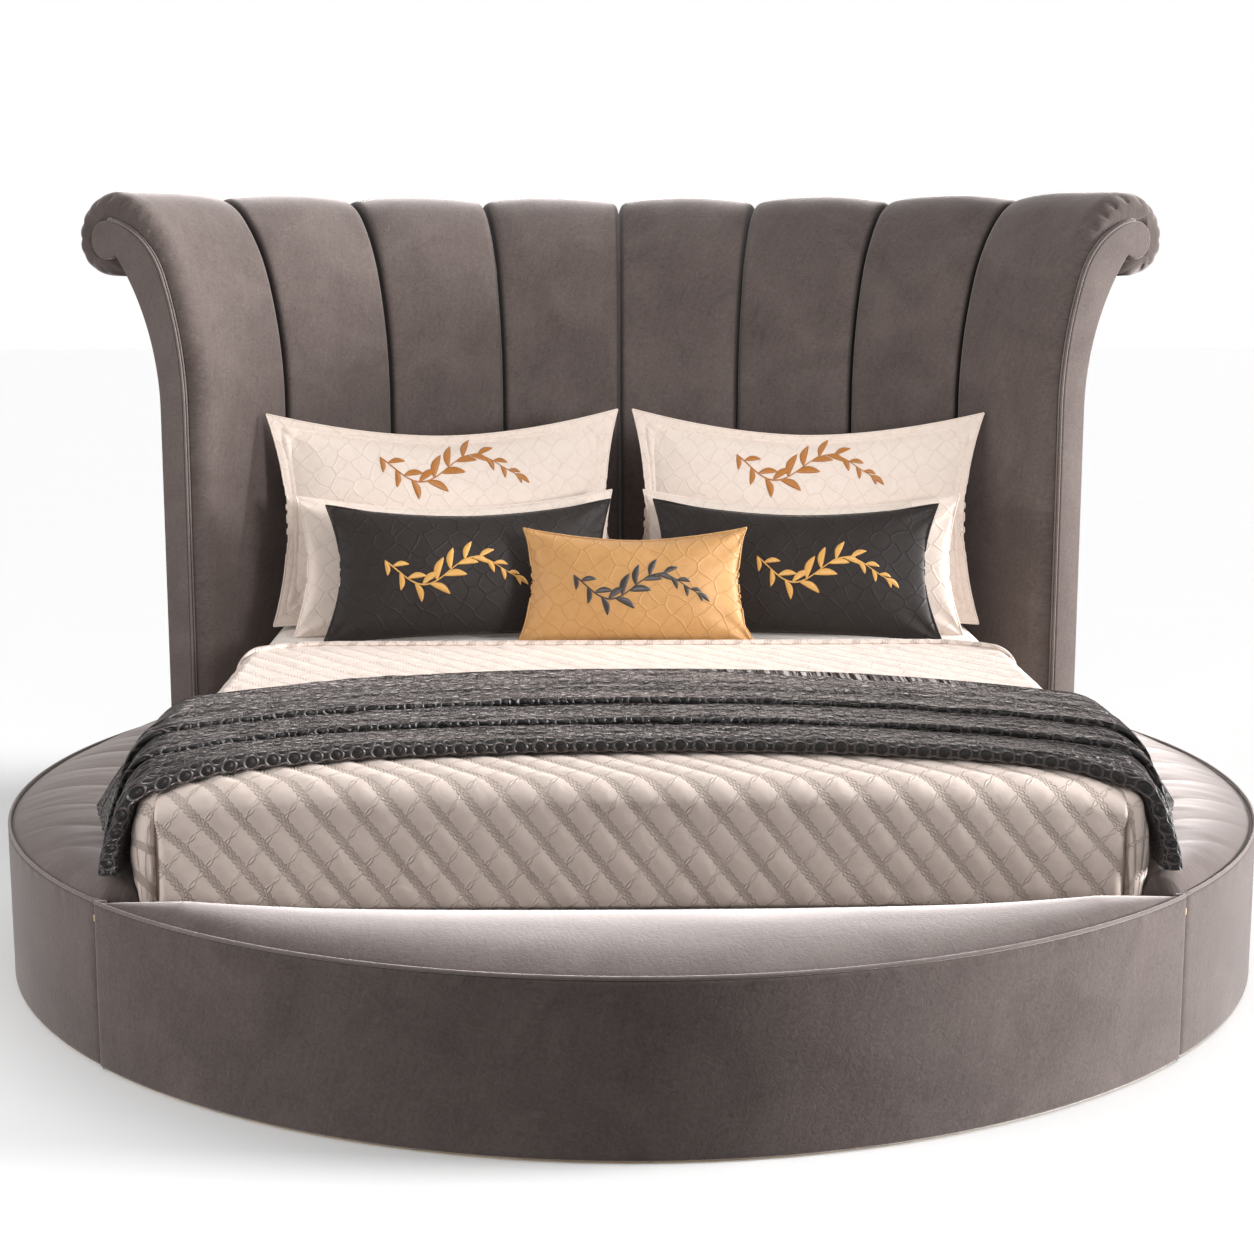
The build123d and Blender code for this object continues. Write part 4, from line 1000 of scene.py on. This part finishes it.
def binding(u, v):
    """A gathered strip along the head edge, over the bed and down its sides."""
    side = np.sign(u - 0.5)
    full_turn = math.pi / 2 - side_slope
    s = np.abs(u * 2 - 1) * (side_bend_x + side_edge * full_turn + 0.132)
    flat = np.minimum(s, side_bend_x)
    turn = np.clip((s - side_bend_x) / side_edge, 0, full_turn)
    down = np.maximum(s - side_bend_x - side_edge * full_turn, 0)
    a = v * 2 * math.pi
    # short creases, set closer together where the strip is eased round its corners
    bent = np.exp(-((s - head_corner_x - 0.09) / 0.12) ** 2)
    crease = np.clip(hash_noise(s * side * 55, s * 0, 51) - 0.30 + 0.3 * bent, 0, 1)
    wide = 0.0150 - 0.0008 * crease
    high = 0.0064 - 0.0022 * crease * (0.4 + 0.6 * bent)
    e, h = wide * np.cos(a), high * np.sin(a) + 0.002
    x = flat + side_edge * np.sin(turn) + down * math.sin(side_slope)
    z = quilt_top - side_edge * (1 - np.cos(turn)) - down * math.cos(side_slope)
    y = head_edge(x) - 0.010 + e
    x, z = x + np.sin(turn) * h, z + np.cos(turn) * h
    return (side * x, y, z), (s * side, v * 0.05)


bound_edge = sew_shut(piece_of_cloth("quilt_binding", 900, 16, binding))
for made in (coverlet, bound_edge):
    dress(made, sateen)
    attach(made, "root")
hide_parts("coverlet")


# Throw: charcoal satin, embossed in small scales, folded lengthwise in three and laid across the
# bed. Each fold lies further back than the one under it. Its front edge is embossed with a row of
# rings, and its ends slope down onto the side pads.

throw_bend_x, throw_bend_z, throw_bend_r = side_bend_x, quilt_top - side_edge, side_edge + 0.0045
throw_front, throw_back = -0.686, -0.100
front_sweep, back_sweep, sweep_x = 0.190, 0.290, 0.905
throw_rest = 0.3575


def throw_end_x(y):
    """How far out the throw's ends lie on the side pads: further at the back."""
    return np.clip(0.885 + (y + 0.927) * 0.29, 0.945, 1.075)


def throw_layer(front, rise, thickness, fine, shift, seed):
    """One fold of the throw as a closed slab with rounded edges."""
    r = thickness / 2

    def shape(u, v):
        side = np.sign(u - 0.5)
        # once round the fold: over the top to the front edge, back underneath
        edge_len = math.pi * r
        top_len = throw_back - front - 2 * r
        runs = [0, top_len - fine, top_len, top_len + edge_len, 2 * top_len + edge_len,
                2 * top_len + 2 * edge_len]
        d = np.interp(v, [0, 0.10, 0.5, 0.68, 0.92, 1.0], runs)
        on_top, on_front = d <= top_len, (d > top_len) & (d <= top_len + edge_len)
        on_under = (d > top_len + edge_len) & (d <= 2 * top_len + edge_len)
        parts = [on_top, on_front, on_under]
        turn = np.select(parts, [0, (d - top_len) / r, math.pi],
                         (d - 2 * top_len - edge_len) / r + math.pi)
        y = np.select(parts, [throw_back - r - d, front + r, front + r + (d - top_len - edge_len)],
                      throw_back - r)
        y = y - np.sin(turn) * r
        lift = rise + r + np.cos(turn) * r
        v_cloth = d - top_len - edge_len / 2
        back_share = np.clip((throw_back - y) / (throw_back - throw_front), 0, 1)
        sweep = back_sweep + (front_sweep - back_sweep) * back_share
        end_x = throw_end_x(y - sweep * 1.2)
        fall_x, fall_z = end_x - throw_bend_x, throw_rest - throw_bend_z
        tilt = np.arctan2(-fall_z, fall_x) + np.arcsin(throw_bend_r / np.hypot(fall_x, fall_z))
        fall = np.sqrt(fall_x ** 2 + fall_z ** 2 - throw_bend_r ** 2)
        half = throw_bend_x + throw_bend_r * tilt + fall
        s = np.abs(u * 2 - 1) * half
        # soft unevenness of folded cloth
        ripple = hash_noise(s * side * 5 + seed, y * 7, 61) * 0.0022
        ripple = ripple + hash_noise(s * side * 14 + y * 9, y * 62, 62 + seed) * 0.0022
        ripple = ripple + hash_noise(s * side * 27, y * 110, 66 + seed) * 0.0013
        behind = y - front
        sway = 0.012 * hash_noise(s * side * 2, s * 0, 68)
        for place, high in ((0.105, 0.0042), (0.172, 0.0030)):
            ripple = ripple + high * (seed == 2) * np.exp(-((behind - place + sway) / 0.011) ** 2)
        lift = lift + np.where(on_top | on_front, ripple, 0) * (0.6 + 0.4 * np.cos(turn))
        y = y + np.where(on_front, hash_noise(s * side * 4, s * 0, 63 + seed) * 0.004, 0)
        end = np.clip((s - half + 0.06) / 0.06, 0, 1)
        s = s + end * (0.004 * np.abs(np.sin(y * math.pi / 0.034))
                       + hash_noise(y * 6, s * 0, 64 + seed) * 0.007)
        s = s - end * seed * 0.006
        flat = np.minimum(s, throw_bend_x)
        bend = np.clip((s - throw_bend_x) / throw_bend_r, 0, tilt)
        down = np.maximum(s - throw_bend_x - throw_bend_r * tilt, 0)
        hang = np.sin(np.clip(down / fall, 0, 1) * math.pi) * 0.006
        reach = throw_bend_r + lift
        beyond = s > throw_bend_x
        x = flat + np.where(beyond, reach * np.sin(bend), 0) + down * np.cos(tilt)
        z = throw_bend_z + np.where(beyond, reach * np.cos(bend), reach) - down * np.sin(tilt)
        x, z = x + np.sin(tilt) * hang, z + np.cos(tilt) * hang
        swing = sweep * (np.minimum(x, 1.12) / sweep_x) ** 2.3
        y = y - swing
        return (side * x, y, z - corner_drop(x, y, z)), (s * side, v_cloth + shift)
    return shape


ring_pitch = 0.0375
satin, tree, shader = finish_of("polyester_satin_embossed", {
    "Roughness": 0.46, "Sheen Weight": 0.45, "Sheen Roughness": 0.28,
    "Sheen Tint": linear("#d8cdc9"), "Specular IOR Level": 0.42})
cloth = add(tree, "UVMap", {"uv_map": "UVMap"})
half_pitch = ring_pitch / math.sqrt(2)
lattice = add(tree, "Mapping", {"vector_type": "TEXTURE", "Vector": cloth.outputs[0],
                                "Rotation": (0, 0, math.radians(45)),
                                "Scale": (half_pitch, half_pitch, 1.0)})
wander = add(tree, "TexNoise", {"Vector": cloth.outputs[0], "Scale": 26.0, "Detail": 2.0})
band = add(tree, "SeparateXYZ", {"Vector": cloth.outputs[0]})
away = add(tree, "Math", {"operation": "ABSOLUTE", 0: band.outputs[1]})
loose = add(tree, "MapRange", {"Value": away.outputs[0], "From Min": 0.012, "From Max": 0.035,
                               "To Min": 0.05, "To Max": 0.75})
centred = add(tree, "VectorMath", {"operation": "SUBTRACT", 0: wander.outputs["Color"],
                                   1: (0.5, 0.5, 0.5)})
push = add(tree, "VectorMath", {"operation": "SCALE", 0: centred.outputs[0],
                                "Scale": loose.outputs[0]})
flat_push = add(tree, "VectorMath", {"operation": "MULTIPLY", 0: push.outputs[0],
                                     1: (1.6, 1.6, 0.0)})
moved = add(tree, "VectorMath", {"operation": "ADD", 0: lattice.outputs[0], 1: flat_push.outputs[0]})
cells = add(tree, "TexVoronoi", {"feature": "F1", "Vector": moved.outputs[0], "Scale": 1.0,
                                 "Randomness": 0.0})
off = add(tree, "Math", {"operation": "SUBTRACT", 0: cells.outputs["Distance"], 1: 0.46})
off = add(tree, "Math", {"operation": "ABSOLUTE", 0: off.outputs[0]})
ring_relief_and_painted_highlight = add(tree, "MapRange", {"interpolation_type": "SMOOTHSTEP", "Value": off.outputs[0],
                              "From Min": 0.02, "From Max": 0.13, "To Min": 1.0, "To Max": 0.0})
dome = add(tree, "MapRange", {"interpolation_type": "SMOOTHSTEP", "Value": cells.outputs["Distance"],
                              "From Min": 0.0, "From Max": 0.42, "To Min": 0.25, "To Max": 0.0})
crush = add(tree, "TexNoise", {"Vector": cloth.outputs[0], "Scale": 75.0, "Detail": 4.0,
                               "Distortion": 1.6})
plain = add(tree, "Math", {"operation": "MAXIMUM", 0: ring_relief_and_painted_highlight.outputs[0], 1: dome.outputs[0]})
height = add(tree, "Math", {"operation": "MULTIPLY_ADD", 0: crush.outputs[0], 1: 0.28,
                            2: plain.outputs[0]})
# The rings are painted lighter than the ground: a painted highlight on the raised rings
tone = add(tree, "Mix", {"data_type": "RGBA", 0: ring_relief_and_painted_highlight.outputs[0], 6: linear("#0d0a09"),
                         7: linear("#453d3c")})
relief = add(tree, "Bump", {"Height": height.outputs[0], "Strength": 1.0, "Distance": 0.0070})
wire(tree, shader, tone, relief)

layers = []
for number, (back_step, rise, thickness, fine) in enumerate((
        (0.0, 0.0, 0.0280, 0.15), (0.130, 0.0286, 0.0110, 0.16), (0.262, 0.0402, 0.0110, 0.30))):
    layers.append(sew_shut(piece_of_cloth("folded_throw", 300, 72, throw_layer(
        throw_front + back_step, rise, thickness, fine, 16 * ring_pitch * number, number))))
throw = join(layers)
fit(throw, "throw", satin)


# Cushions: two cream shams with a flat flange, two plain cream ones, two charcoal ones and a gold
# one, in jacquard whose weave puckers into a net of rounded cells. Each is two panels sewn round
# its edge and filled, so its sides draw in between the corners. Leaf sprigs are embroidered on five.

cushion_lean, row_turn = math.radians(14), math.radians(10)
bed_surface = 0.5187
flange = 0.025


def crowd(t):
    """Places from -1 to 1 that lie closer together at the ends."""
    return 0.55 * t + 0.45 * np.sin(t * math.pi / 2)


def panel_of(size, border, face, top_share, side_draw):
    """One panel of a cushion, flat in x and y, its crown along z; its top edge draws in most."""
    wide, high, thick = size

    def shape(u, v):
        a, b = crowd(u * 2 - 1), crowd(v * 2 - 1)
        x = a * (wide / 2 - side_draw * (1 - b * b) - 0.010 * (b + 1) * (border == 0))
        draw = np.where(b > 0, high * top_share, 0.012)
        y = b * (high / 2 - draw * (1 - np.abs(a) ** 1.8))
        in_x = np.clip(np.abs(a) / (1 - border / (wide / 2)), 0, 1)
        in_y = np.clip(np.abs(b) / (1 - border / (high / 2)), 0, 1)
        full = ((1 - in_x ** 2.4) * (1 - in_y ** 2.4)) ** 0.52
        rim = np.where((np.abs(a) > 0.999) | (np.abs(b) > 0.999), 0, 0.0012 if border else 0)
        z = rim + (thick / 2 - 0.006) * full
        return (x, y, face * z), (x + (2 if face < 0 else 0), y)
    return shape


def move_points(mesh, places):
    """Puts a mesh's points at new places."""
    mesh.vertices.foreach_set("co", places.ravel())
    mesh.update()


def swell(piece, border, size, cap):
    """Fills a cushion by cloth simulation; its corners and flange stay, and no point moves far."""
    start = points_of(piece.data)
    held = piece.vertex_groups.new(name="held")
    near = np.abs(start[:, 2]) < 0.0016
    corner = (np.abs(start[:, 0]) > size[0] / 2 - 0.03) & (np.abs(start[:, 1]) > size[1] / 2 - 0.03)
    stay = near if border else corner & near
    held.add([int(i) for i in np.nonzero(stay)[0]], 1.0, "REPLACE")
    cloth = piece.modifiers.new("filling", "CLOTH")
    settings = cloth.settings
    settings.quality, settings.mass = 6, 0.25
    settings.tension_stiffness = settings.compression_stiffness = 18
    settings.shear_stiffness, settings.bending_stiffness = 8, 0.4
    settings.use_pressure, settings.uniform_pressure_force = True, 5.0
    settings.effector_weights.gravity = 0
    settings.vertex_group_mass = "held"
    scene = bpy.context.scene
    for frame_number in range(1, 19):
        scene.frame_set(frame_number)
    solved = piece.evaluated_get(bpy.context.evaluated_depsgraph_get()).to_mesh()
    move = points_of(solved) - start
    piece.modifiers.remove(cloth)
    scene.frame_set(1)
    length = np.linalg.norm(move, axis=1)[:, None] + 1e-9
    move = move * np.minimum(1, cap / length)
    move_points(piece.data, start + move)
    piece.vertex_groups.clear()


def pucker(piece, size, border, seed):
    """Short creases that run in from the seam and out to the corners."""
    places = points_of(piece.data)
    x, y, z = places.T
    face = np.sign(z) * (np.abs(z) > 0.0016)
    to_side = size[0] / 2 - border - np.abs(x)
    to_edge = size[1] / 2 - border - np.abs(y)
    along_edge = np.sin(x / 0.0085 + 3 * hash_noise(x * 22, y * 0 + face, seed))
    along_side = np.sin(y / 0.0085 + 3 * hash_noise(y * 22, x * 0 + face, seed + 1))
    inside, under = np.maximum(to_side, 0), np.maximum(to_edge, 0)
    pull = np.exp(-under / 0.022) * along_edge + np.exp(-inside / 0.022) * along_side
    corner = np.exp(-(inside ** 2 + under ** 2) / 0.11 ** 2)
    angle = np.arctan2(np.maximum(to_edge, 0.001), np.maximum(to_side, 0.001))
    rays = np.sin(angle * 11 + seed + 2 * hash_noise(x * 9, y * 9, seed + 2))
    dent = (hash_noise(x * 7 + face * 3, y * 7, seed + 3) * 0.0035
            + hash_noise(x * 19, y * 19 + face, seed + 4) * 0.0012)
    body = np.clip(np.minimum(to_side, to_edge) / 0.05, 0, 1)
    rays = 0.0032 * corner * rays * np.clip(body * 3, 0.2, 1)
    places[:, 2] += face * (0.0013 * pull + rays + dent * body)
    if border:
        seam = np.minimum(to_side, to_edge)
        places[:, 2] -= face * np.minimum(0.0022 * np.exp(-(seam / 0.004) ** 2), np.abs(z) * 0.8)
        places[:, 2] += face * 0.0022 * np.clip((-seam - 0.004) / 0.010, 0, 1) * (np.abs(z) > 0.0005)
    move_points(piece.data, places)


def jacquard(name, low, high, groove, roughness, sheen):
    """Woven cloth whose cells puff up between sunken outlines about 45 mm apart."""
    made, tree, shader = finish_of(name, {
        "Roughness": roughness, "Sheen Weight": sheen, "Sheen Roughness": 0.35,
        "Sheen Tint": linear("#fff4ea"), "Specular IOR Level": 0.25})
    cloth = add(tree, "UVMap", {"uv_map": "UVMap"})
    wander = add(tree, "TexNoise", {"Vector": cloth.outputs[0], "Scale": 17.0, "Detail": 1.0})
    sway = add(tree, "VectorMath", {"operation": "MULTIPLY_ADD", 0: wander.outputs["Color"],
                                    1: (0.030, 0.030, 0.0), 2: cloth.outputs[0]})
    tilted = add(tree, "Mapping", {"Vector": sway.outputs[0], "Rotation": (0, 0, math.radians(45))})
    cells = add(tree, "TexVoronoi", {"feature": "DISTANCE_TO_EDGE", "Vector": tilted.outputs[0],
                                     "Scale": 23.0, "Randomness": 0.42})
    edge = cells.outputs["Distance"]
    puff = add(tree, "MapRange", {"interpolation_type": "SMOOTHSTEP", "Value": edge,
                                  "From Min": 0.0, "From Max": 0.085})
    line = add(tree, "MapRange", {"interpolation_type": "SMOOTHSTEP", "Value": edge,
                                  "From Min": 0.0, "From Max": 0.03, "To Min": 0.6, "To Max": 0.0})
    crush = add(tree, "TexNoise", {"Vector": cloth.outputs[0], "Scale": 45.0, "Detail": 4.0,
                                   "Distortion": 1.0})
    weave = add(tree, "TexNoise", {"Vector": cloth.outputs[0], "Scale": 520.0, "Detail": 2.0})
    ground = add(tree, "Mix", {"data_type": "RGBA", 0: crush.outputs[0], 6: linear(low),
                               7: linear(high)})
    tone = add(tree, "Mix", {"data_type": "RGBA", 0: line.outputs[0], 6: ground.outputs[2],
                             7: linear(groove)})
    first = add(tree, "Bump", {"Height": puff.outputs[0], "Strength": 0.34, "Distance": 0.0024})
    second = add(tree, "Bump", {"Height": crush.outputs[0], "Strength": 0.30, "Distance": 0.0022,
                                "Normal": first.outputs[0]})
    third = add(tree, "Bump", {"Height": weave.outputs[0], "Strength": 0.3, "Distance": 0.0006,
                               "Normal": second.outputs[0]})
    wire(tree, shader, tone, third)
    return made


cream = jacquard("cotton_jacquard_cream", "#dccbbe", "#e9dbd1", "#d0bdb0", 0.66, 0.2)
charcoal = jacquard("cotton_jacquard_charcoal", "#221c1a", "#2b2523", "#161211", 0.55, 0.2)
gold = jacquard("sateen_jacquard_gold", "#a97d4b", "#bb8f5d", "#976d3f", 0.45, 0.25)


def embroidery(name, low, high):
    """Satin stitch in rayon thread: glossy, with fine ridges across each leaf."""
    made, tree, shader = finish_of(name, {"Roughness": 0.38, "Specular IOR Level": 0.6,
                                          "Sheen Weight": 0.15})
    cloth = add(tree, "UVMap", {"uv_map": "UVMap"})
    rows = add(tree, "TexWave", {"Vector": cloth.outputs[0], "Scale": 110.0, "Distortion": 1.5,
                                 "Detail": 1.0})
    tone = add(tree, "Mix", {"data_type": "RGBA", 0: rows.outputs[1], 6: linear(low),
                             7: linear(high)})
    relief = add(tree, "Bump", {"Height": rows.outputs[1], "Strength": 0.5, "Distance": 0.0008})
    wire(tree, shader, tone, relief)
    return made


bronze_thread = embroidery("rayon_thread_bronze", "#a05f1c", "#bd7a2c")
amber_thread = embroidery("rayon_thread_amber", "#c08a3c", "#dba855")
black_thread = embroidery("rayon_thread_black", "#1b1614", "#2a2321")


def sprig_on(piece, name, width, aside, above, mirror):
    """A leafy branch that lies on a cushion's front panel, as a closed raised mesh; mirror is -1
    where the cushion will be mirrored, so that the branch still reads the same way."""
    tree = BVHTree.FromObject(piece, bpy.context.evaluated_depsgraph_get())
    leaves = []
    swing, bends = 0.12, 2.5 * math.pi

    def stem_line(t):
        """The stem's middle line, t from its foot to its tip."""
        return (t - 0.5) * width, swing * width * np.sin((t - 0.5) * bends) * (1 - 0.3 * t)

    for number in range(19):
        t = number / 18
        slope = math.atan(swing * bends * math.cos((t - 0.5) * bends))
        way = slope + (1 if number % 2 else -1) * math.radians(48 - 20 * t)
        length = width * (0.19 - 0.09 * abs(2 * t - 0.8))
        leaves.append((*stem_line(t), way, length, length * 0.30))
    leaves.append((0.49 * width, leaves[-1][1], slope, width * 0.13, width * 0.035))

    def leaf(x, y, way, length, wide):
        def shape(u, v):
            a = v * 2 * math.pi
            half = wide / 2 * np.sin(np.clip(u, 0.0, 1.0) * math.pi) ** 0.8 + 0.0004
            across = half * np.cos(a) + 0.10 * length * np.sin(u * math.pi)
            px = x + u * length * math.cos(way) - across * math.sin(way)
            py = y + u * length * math.sin(way) + across * math.cos(way)
            high = np.sin(a) * np.minimum(0.0016, half * 0.5)
            return (px, py, high), (u * length, half * np.cos(a))
        return shape

    def stem(u, v):
        a = v * 2 * math.pi
        x, y = stem_line(u)
        half = 0.0021 * (1.2 - 0.6 * u)
        return (x, y + half * np.cos(a), np.sin(a) * 0.0014), (u * width, half * np.cos(a))

    pieces = [piece_of_cloth(name, 90, 8, stem)]
    for values in leaves:
        pieces.append(piece_of_cloth("leaf", 12, 8, leaf(*values)))
    sprig = sew_shut(join(pieces))
    for vertex in sprig.data.vertices:
        vertex.co.x, vertex.co.y = mirror * (vertex.co.x + aside), vertex.co.y + above
        spot = tree.ray_cast((vertex.co.x, vertex.co.y, 0.5), (0, 0, -1))[0]
        vertex.co.z += (spot.z if spot else 0) + 0.0006
    return sprig


def stand(piece, node, turn, mirror, nudge):
    """Turns a flat-lying cushion upright at its node's place, leaning back; a nudge moves it
    across and up, as soft cushions settle."""
    low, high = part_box(node)
    middle = (np.array(low) + np.array(high)) / 2 + np.array([nudge[0], 0, nudge[1]])
    across = np.array([math.cos(turn), math.sin(turn), 0])
    level = math.cos(cushion_lean)
    front = np.array([math.sin(turn) * level, -math.cos(turn) * level, math.sin(cushion_lean)])
    up = np.cross(front, across)
    places = points_of(piece.data)
    places[:, 0] *= mirror
    stood = middle + places[:, :1] * across + places[:, 1:2] * up + places[:, 2:] * front
    # the underside spreads flat where it rests on the sheet
    above = stood[:, 2] - bed_surface - 0.004
    stood[:, 2] = np.where(above < 0, bed_surface + 0.004 * np.exp(above / 0.008), stood[:, 2])
    move_points(piece.data, stood)
    if mirror < 0:
        sew_shut(piece, merge=0, close_ends=False)


def edge_cord(piece, name, size):
    """A thin self-cord along a cushion's seam, on the outermost points of its panels."""
    rim = np.array([v.co for v in piece.data.vertices if abs(v.co.z) < 0.02], float)
    angle = np.arctan2(rim[:, 1] / size[1], rim[:, 0] / size[0])
    count = 420
    path = []
    for a in np.linspace(-math.pi, math.pi, count, endpoint=False):
        close = rim[np.abs(np.angle(np.exp(1j * (angle - a)))) < 0.02]
        far = np.hypot(close[:, 0] / size[0], close[:, 1] / size[1])
        path.append(close[np.argmax(far)] if len(close) else path[-1])
    path = np.array(path)
    path = (np.roll(path, 1, 0) + path + np.roll(path, -1, 0)) / 3
    away = np.roll(path, -1, 0) - np.roll(path, 1, 0)
    away = np.stack([away[:, 1], -away[:, 0]], 1)
    away /= np.linalg.norm(away, axis=1)[:, None] + 1e-9

    def shape(u, v):
        k = np.round(u * count).astype(int) % count
        a = v * 2 * math.pi
        r = 0.0023 + 0.00012 * np.sin(k * 1.3 + a)
        out = r * np.cos(a) - 0.0006
        x, y = path[k, 0] + away[k, 0] * out, path[k, 1] + away[k, 1] * out
        return (x, y, path[k, 2] + r * np.sin(a)), (u * 2, v * 0.014)
    return sew_shut(piece_of_cloth(name, count, 8, shape))


# Each kind's size, flange and draw of its seams, its cloth, then its sprig's thread, width and
# places on the left, on the right and up, and how far its cushions settled across and up
for node, size, border, draws, made, slot, thread, width, shifts, nudges, seed in (
        ("sham", (0.920, 0.548, 0.128), flange, (0.120, 0.044), cream, "beige",
         bronze_thread, 0.350, (0.0, 0.0, 0.122), ((0.020, 0.008), (-0.006, 0.008)), 1),
        ("plain_cushion", (0.848, 0.362, 0.112), 0.0, (0.100, 0.030), cream, "beige",
         None, 0, (0, 0, 0), ((0.016, -0.006), (0.004, -0.006)), 2),
        ("dark_cushion", (0.754, 0.345, 0.110), 0.0, (0.095, 0.036), charcoal, "charcoal",
         amber_thread, 0.320, (-0.060, 0.075, 0.0), ((0.010, 0.0), (0.026, 0.0)), 3),
        ("gold_cushion", (0.588, 0.292, 0.108), 0.0, (0.125, 0.034), gold, "gold",
         black_thread, 0.300, (0.0, 0.0, 0.0), ((0.022, 0.0),), 4)):
    cushion = sew_shut(join([piece_of_cloth(node + "_cover", 84, 54,
                                            panel_of(size, border, face, *draws))
                             for face in (1, -1)]))
    swell(cushion, border, size, 0.012 if border else 0.004)
    pucker(cushion, size, border, seed)
    cord = edge_cord(cushion, node + "_cord", size)
    smooth = cushion.modifiers.new("smooth", "SUBSURF")
    smooth.levels = smooth.render_levels = 1
    select_only(cushion)
    bpy.ops.object.modifier_apply(modifier=smooth.name)
    sides = ((-1, "_left"), (1, "_right")) if node != "gold_cushion" else ((0, ""),)
    for (side, word), nudge in zip(sides, nudges):
        mirror = -1 if side > 0 else 1
        sources = [("cover", cushion, made, slot), ("cord", cord, made, slot)]
        if thread:
            sprig = sprig_on(cushion, node + "_sprig", width, shifts[side > 0], shifts[2], mirror)
            sources.append(("sprig", sprig, thread, "charcoal" if side == 0 else "gold"))
        for kind, source, finish, kept in sources:
            select_only(source)
            bpy.ops.object.duplicate()
            copy = bpy.context.active_object
            copy.name = copy.data.name = node + word + "_" + kind
            stand(copy, node + word, -side * row_turn, mirror, nudge)
            dress(copy, finish)
            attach(copy, "root")
            if kind == "cover":
                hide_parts(node + word)
        if thread:
            bpy.data.objects.remove(sprig)
    for source in (cushion, cord):
        bpy.data.objects.remove(source)


# Studio: a pale floor and backdrop, soft suns on the right, above and a little on the left, three
# lamps, and the camera where the photograph was taken from.

bpy.ops.object.select_all(action="DESELECT")
bpy.ops.mesh.primitive_plane_add(size=60)
floor = bpy.context.active_object
floor.name = "studio_floor"
dress(floor, mottled("studio_floor_matt", {"Roughness": 0.9}, "TexNoise", {"Scale": 3.0},
                     "#fdfdfd", "#ffffff"))
# The floor is lit white but throws little light back, as if the bed stood on a low dark plinth
floor.visible_diffuse = False

# The backdrop looks white and gives less light than that
world = bpy.data.worlds.new("studio")
world.use_nodes = True
tree = world.node_tree
backdrop = tree.nodes["Background"]
backdrop.inputs["Color"].default_value = linear("#ffffff")
seen = add(tree, "LightPath", {})
strength = add(tree, "MapRange", {"Value": seen.outputs["Is Camera Ray"],
                                  "To Min": 0.31, "To Max": 1.0})
tree.links.new(strength.outputs[0], backdrop.inputs["Strength"])
bpy.context.scene.world = world
for name, way, strength, spread in (
        ("key_right", (1.0, 0.05, 0.15), 9.0, 22), ("fill_left", (-1.0, -0.10, 0.22), 0.7, 35),
        ("top", (0.12, 0.20, 1.0), 0.64, 50)):
    bpy.ops.object.light_add(type="SUN", location=[4 * w for w in way])
    light = bpy.context.active_object
    light.name = name
    light.data.energy, light.data.angle = strength, math.radians(spread)
    level = math.hypot(way[0], way[1])
    light.rotation_euler = (math.atan2(level, way[2]), 0,
                            math.atan2(-way[1], -way[0]) - math.pi / 2)

# A broad lamp above the foot of the bed lights the cushions, one beside it the left, and a soft
# spot the headboard; none of them reaches the middle of the front wall
for name, place, aim, energy, size in (
        ("softbox_above", (1.0, -0.95, 2.0), (-0.05, 1.35, 0.95), 13.0, 1.6),
        ("softbox_left", (-2.6, -1.6, 1.3), (-1.2, -0.2, 0.6), 26.0, 1.2)):
    bpy.ops.object.light_add(type="AREA", location=place)
    lamp = bpy.context.active_object
    lamp.name = name
    lamp.data.energy, lamp.data.size = energy, size
    lamp.visible_camera = False
    right, ahead, down = aim[0] - place[0], aim[1] - place[1], place[2] - aim[2]
    lamp.rotation_euler = (math.atan2(math.hypot(right, ahead), down), 0, math.atan2(-right, ahead))
bpy.ops.object.light_add(type="SPOT", location=(2.2, -2.6, 1.5))
spot = bpy.context.active_object
spot.name = "soft_spot_headboard"
spot.data.energy, spot.data.shadow_soft_size = 430.0, 0.45
spot.data.spot_size, spot.data.spot_blend = math.radians(35), 0.8
spot.rotation_euler = (math.atan2(4.72, 0.45), 0, math.atan2(2.6, 3.95))

bpy.ops.object.camera_add(location=(-0.107, -4.655, 1.458),
                          rotation=(math.radians(90 - 9.726), 0, math.radians(-1.189)))
camera = bpy.context.active_object
camera.data.lens, camera.data.sensor_width = 62.18, 36
bpy.context.scene.camera = camera
bpy.context.scene.view_settings.view_transform = "Standard"
